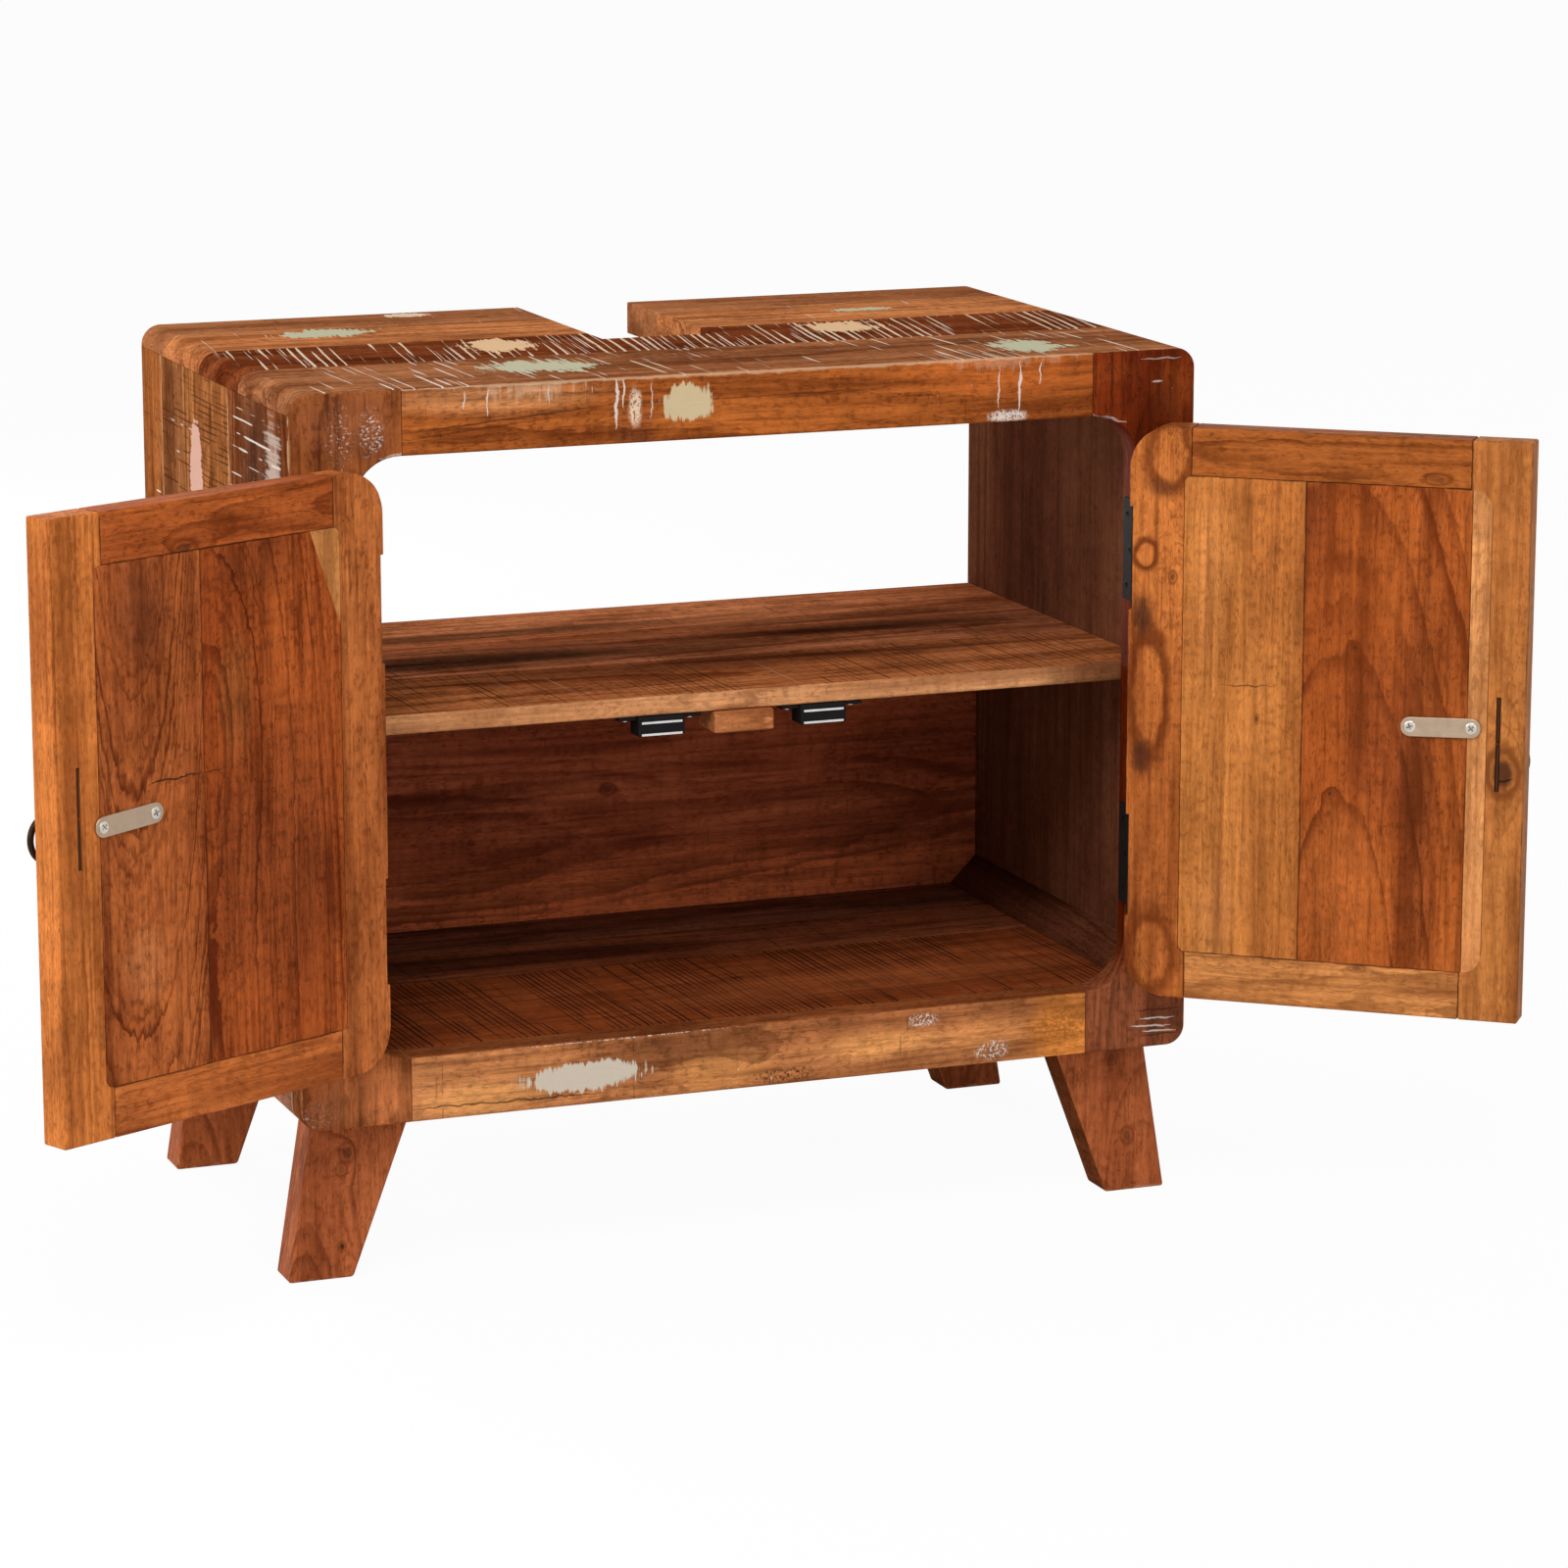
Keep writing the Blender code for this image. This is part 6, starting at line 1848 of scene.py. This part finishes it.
def build_strike(door):
    """The plate that a catch pulls on, a little aslant as fitted, with its two screws."""
    side = door.side
    low, high = node_span(side + "_strike_plate", door.place)
    middle = (low + high) / 2
    half_width = (high.z - low.z) / 2
    bm = slab("Y", rectangle(low.x, high.x, low.z, high.z), low.y, high.y)
    for x in (low.x, high.x):
        for z in (low.z, high.z):
            round_corner(bm, "Y", (x, z), half_width * PLATE_ROUNDING)
    soften(bm, SMALL_ARRIS)
    turn = Matrix.Rotation(PLATE_TILT[side], 4, "Y")
    tilt = Matrix.Translation(middle) @ turn @ Matrix.Translation(-middle)
    bmesh.ops.transform(bm, matrix=tilt, verts=bm.verts)
    body = side + "_door"
    plate = side + "_strike_plate"
    add_piece(plate + "_metal", door.place, body, [plate], [plain(bm, METALS["nickel"])])
    upright = Matrix.Rotation(-math.pi / 2, 4, "X")
    for name in (side + "_strike_inner_screw", side + "_strike_outer_screw"):
        screw_low, screw_high = node_span(name, door.place)
        spot = Vector(((screw_low.x + screw_high.x) / 2, high.y, (screw_low.z + screw_high.z) / 2))
        turn = Matrix.Rotation(SCREW_TURN[name.split("_")[2]], 4, "Z")
        matrix = tilt @ Matrix.Translation(spot) @ upright @ turn
        bm = screw_head(matrix, STRIKE_SCREW_RADIUS, STRIKE_SCREW_RISE, SCREW_SINK)
        add_piece(name + "_head", door.place, body, [name], [plain(bm, METALS["zinc"])])


def build_leaf(side, level, kind, place, body, along, knuckles, facing):
    """A hinge leaf: plate, knuckles and three screws."""
    sign = SIDE_SIGN[side]
    name = f"{side}_{level}_hinge_{kind}_leaf"
    middle_z = HINGE_HEIGHTS[1] if level == "upper" else HINGE_HEIGHTS[0]
    first, last = sorted((-sign * along, -sign * (along + LEAF_THICKNESS)))
    half = LEAF_HALF_LENGTH
    plate = box((first, LEAF_START, middle_z - half), (last, LEAF_WIDTH, middle_z + half))
    steel = METALS["black_steel"]
    parts = [plain(soften(plate, LEAF_ARRIS), steel)]
    length = 2 * half / KNUCKLE_COUNT
    for index in knuckles:
        z = middle_z - half + (index + 0.5) * length
        roll = bmesh.new()
        bmesh.ops.create_cone(
            roll, cap_ends=True, segments=KNUCKLE_STEPS, radius1=KNUCKLE_RADIUS, radius2=KNUCKLE_RADIUS,
            depth=length - KNUCKLE_GAP, matrix=Matrix.Translation((0.0, 0.0, z)),
        )
        parts.append(plain(soften(roll, SMALL_ARRIS), steel))
        reach = (length - KNUCKLE_GAP) / 2
        tab = box((first, 0.0, z - reach), (last, LEAF_START + NEAR, z + reach))
        parts.append(plain(tab, steel))
    face_x = -sign * along if kind == "door" else -sign * (along + LEAF_THICKNESS)
    for rise, y in LEAF_SCREWS:
        turned = Matrix.Rotation(facing * math.pi / 2, 4, "Y")
        matrix = Matrix.Translation((face_x, y, middle_z + rise)) @ turned
        head = screw_head(matrix, LEAF_SCREW_RADIUS, LEAF_SCREW_RISE, LEAF_SCREW_SINK)
        parts.append(plain(head, steel))
    add_piece(name + "_metal", place, body, [name], parts)


def build_hinges(door):
    side, sign = door.side, door.sign
    closed = CARCASS @ Matrix.Translation((sign * AXIS_X, AXIS_Y, 0.0))
    for level in ("lower", "upper"):
        build_leaf(side, level, "frame", closed, "carcass", FRAME_LEAF_ALONG, FRAME_KNUCKLES, -sign)
        build_leaf(side, level, "door", door.place, side + "_door", DOOR_LEAF_ALONG, DOOR_KNUCKLES, sign)


def build_catch(side):
    """A magnetic catch's body and ears, with a screw in each ear."""
    node = side + "_catch_body"
    low, high = node_span(node)
    middle = (low.x + high.x) / 2
    plastic = METALS["black_plastic"]
    body = box((middle - CATCH_HALF, low.y, low.z), (middle + CATCH_HALF, high.y, high.z))
    parts = [plain(soften(body, CATCH_ARRIS), plastic)]
    ear_y, ear_z = low.y + CATCH_EAR_SETBACK, high.z - CATCH_EAR_THICKNESS
    upside_down = Matrix.Rotation(math.pi, 4, "X")
    for start, end in ((low.x, middle - CATCH_HALF), (middle + CATCH_HALF, high.x)):
        ear = box((start, ear_y, ear_z), (end, high.y, high.z))
        parts.append(plain(soften(ear, EAR_ARRIS), plastic))
        spot = Matrix.Translation(((start + end) / 2, (ear_y + high.y) / 2, ear_z))
        head = screw_head(spot @ upside_down, CATCH_SCREW_RADIUS, CATCH_SCREW_RISE, SCREW_SINK)
        parts.append(plain(head, METALS["zinc"]))
    add_carcass_piece(side + "_catch_plastic", "black_plastic", node, *parts)


def build_hardware():
    dress_cad_hardware()
    for side in SIDE_SIGN:
        door = Door(side)
        build_ring(door)
        build_strike(door)
        build_hinges(door)
        build_catch(side)


WHITE = (1.0, 1.0, 1.0, 1.0)
FLOOR_SIZE = 30.0
FLOOR_COLOUR = (0.86, 0.86, 0.86, 1.0)
FLOOR_GLOW = 0.95
AMBIENT_LIGHT = 0.44

# Softboxes: place, aim, size and power
LAMPS = {
    "key_softbox": ((-1.1, -2.1, 2.9), (0.0, 0.0, 0.30), 1.6, 65.0),
    "front_softbox": ((0.6, -3.4, 1.5), (0.0, 0.0, 0.30), 1.6, 14.0),
    "back_softbox": ((-0.8, 3.0, 1.0), (0.0, 0.0, 0.40), 1.0, 45.0),
    "left_softbox": ((-3.0, -0.6, 1.3), (0.0, 0.0, 0.30), 1.6, 34.0),
}


def seen_rays(tree):
    """1 for rays that end in the picture, straight, mirrored or through glass, and 0 for the rest."""
    rays = tree.put("ShaderNodeLightPath").outputs
    seen = tree.math("MAXIMUM", rays["Is Camera Ray"], rays["Is Glossy Ray"])
    return tree.math("MAXIMUM", seen, rays["Is Transmission Ray"])


def build_studio_floor():
    """A pale floor that keeps a soft shadow."""
    mesh = bpy.data.meshes.new("studio_floor")
    bm = bmesh.new()
    bmesh.ops.create_grid(bm, x_segments=1, y_segments=1, size=FLOOR_SIZE)
    bm.to_mesh(mesh)
    bm.free()
    floor = bpy.data.objects.new("studio_floor", mesh)
    bpy.context.scene.collection.objects.link(floor)
    material = bpy.data.materials.new("studio_floor_white")
    material.use_nodes = True
    tree = Tree(material.node_tree)
    nodes = material.node_tree.nodes
    shader = nodes["Principled BSDF"]
    shader.inputs["Base Color"].default_value = FLOOR_COLOUR
    shader.inputs["Roughness"].default_value = 1.0
    shader.inputs["Specular IOR Level"].default_value = 0.0
    glow = tree.put("ShaderNodeEmission", {"Color": WHITE, "Strength": 1.0})
    share = tree.times(seen_rays(tree), FLOOR_GLOW)
    mixed = tree.put(
        "ShaderNodeMixShader", {0: share, 1: shader.outputs["BSDF"], 2: glow.outputs["Emission"]},
    )
    tree.feed(nodes["Material Output"].inputs["Surface"], mixed.outputs["Shader"])
    mesh.materials.append(material)


def build_studio_light():
    """White all round, and softboxes."""
    world = bpy.data.worlds.new("studio_world")
    bpy.context.scene.world = world
    world.use_nodes = True
    tree = Tree(world.node_tree)
    nodes = world.node_tree.nodes
    ambient = nodes["Background"]
    ambient.inputs["Color"].default_value = WHITE
    ambient.inputs["Strength"].default_value = AMBIENT_LIGHT
    white = tree.put("ShaderNodeBackground", {"Color": WHITE, "Strength": 1.0})
    sources = {0: seen_rays(tree), 1: ambient.outputs["Background"], 2: white.outputs["Background"]}
    mixed = tree.put("ShaderNodeMixShader", sources)
    tree.feed(nodes["World Output"].inputs["Surface"], mixed.outputs["Shader"])
    for name, lamp in LAMPS.items():
        add_lamp(name, *lamp)


def add_lamp(name, place, aim, size, power):
    lamp = bpy.data.lights.new(name, "AREA")
    lamp.shape = "SQUARE"
    lamp.size = size
    lamp.energy = power
    holder = bpy.data.objects.new(name, lamp)
    holder.location = place
    holder.rotation_euler = (Vector(aim) - Vector(place)).to_track_quat("-Z", "Y").to_euler()
    holder.visible_camera = False
    bpy.context.scene.collection.objects.link(holder)


def build_camera():
    camera = bpy.data.cameras.new("photo_camera")
    camera.lens = CAMERA_LENS
    camera.sensor_width = CAMERA_SENSOR
    holder = bpy.data.objects.new("photo_camera", camera)
    holder.location = CARCASS @ Vector(CAMERA_PLACE)
    holder.rotation_euler = Euler((math.pi / 2 - CAMERA_PITCH, 0.0, -CAMERA_YAW))
    bpy.context.scene.collection.objects.link(holder)
    bpy.context.scene.camera = holder


bpy.context.scene.view_settings.view_transform = "Standard"
build_camera()
build_studio_floor()
build_studio_light()
build_carcass()
for side, seed in DOOR_SEED.items():
    build_door(side, seed)
build_hardware()
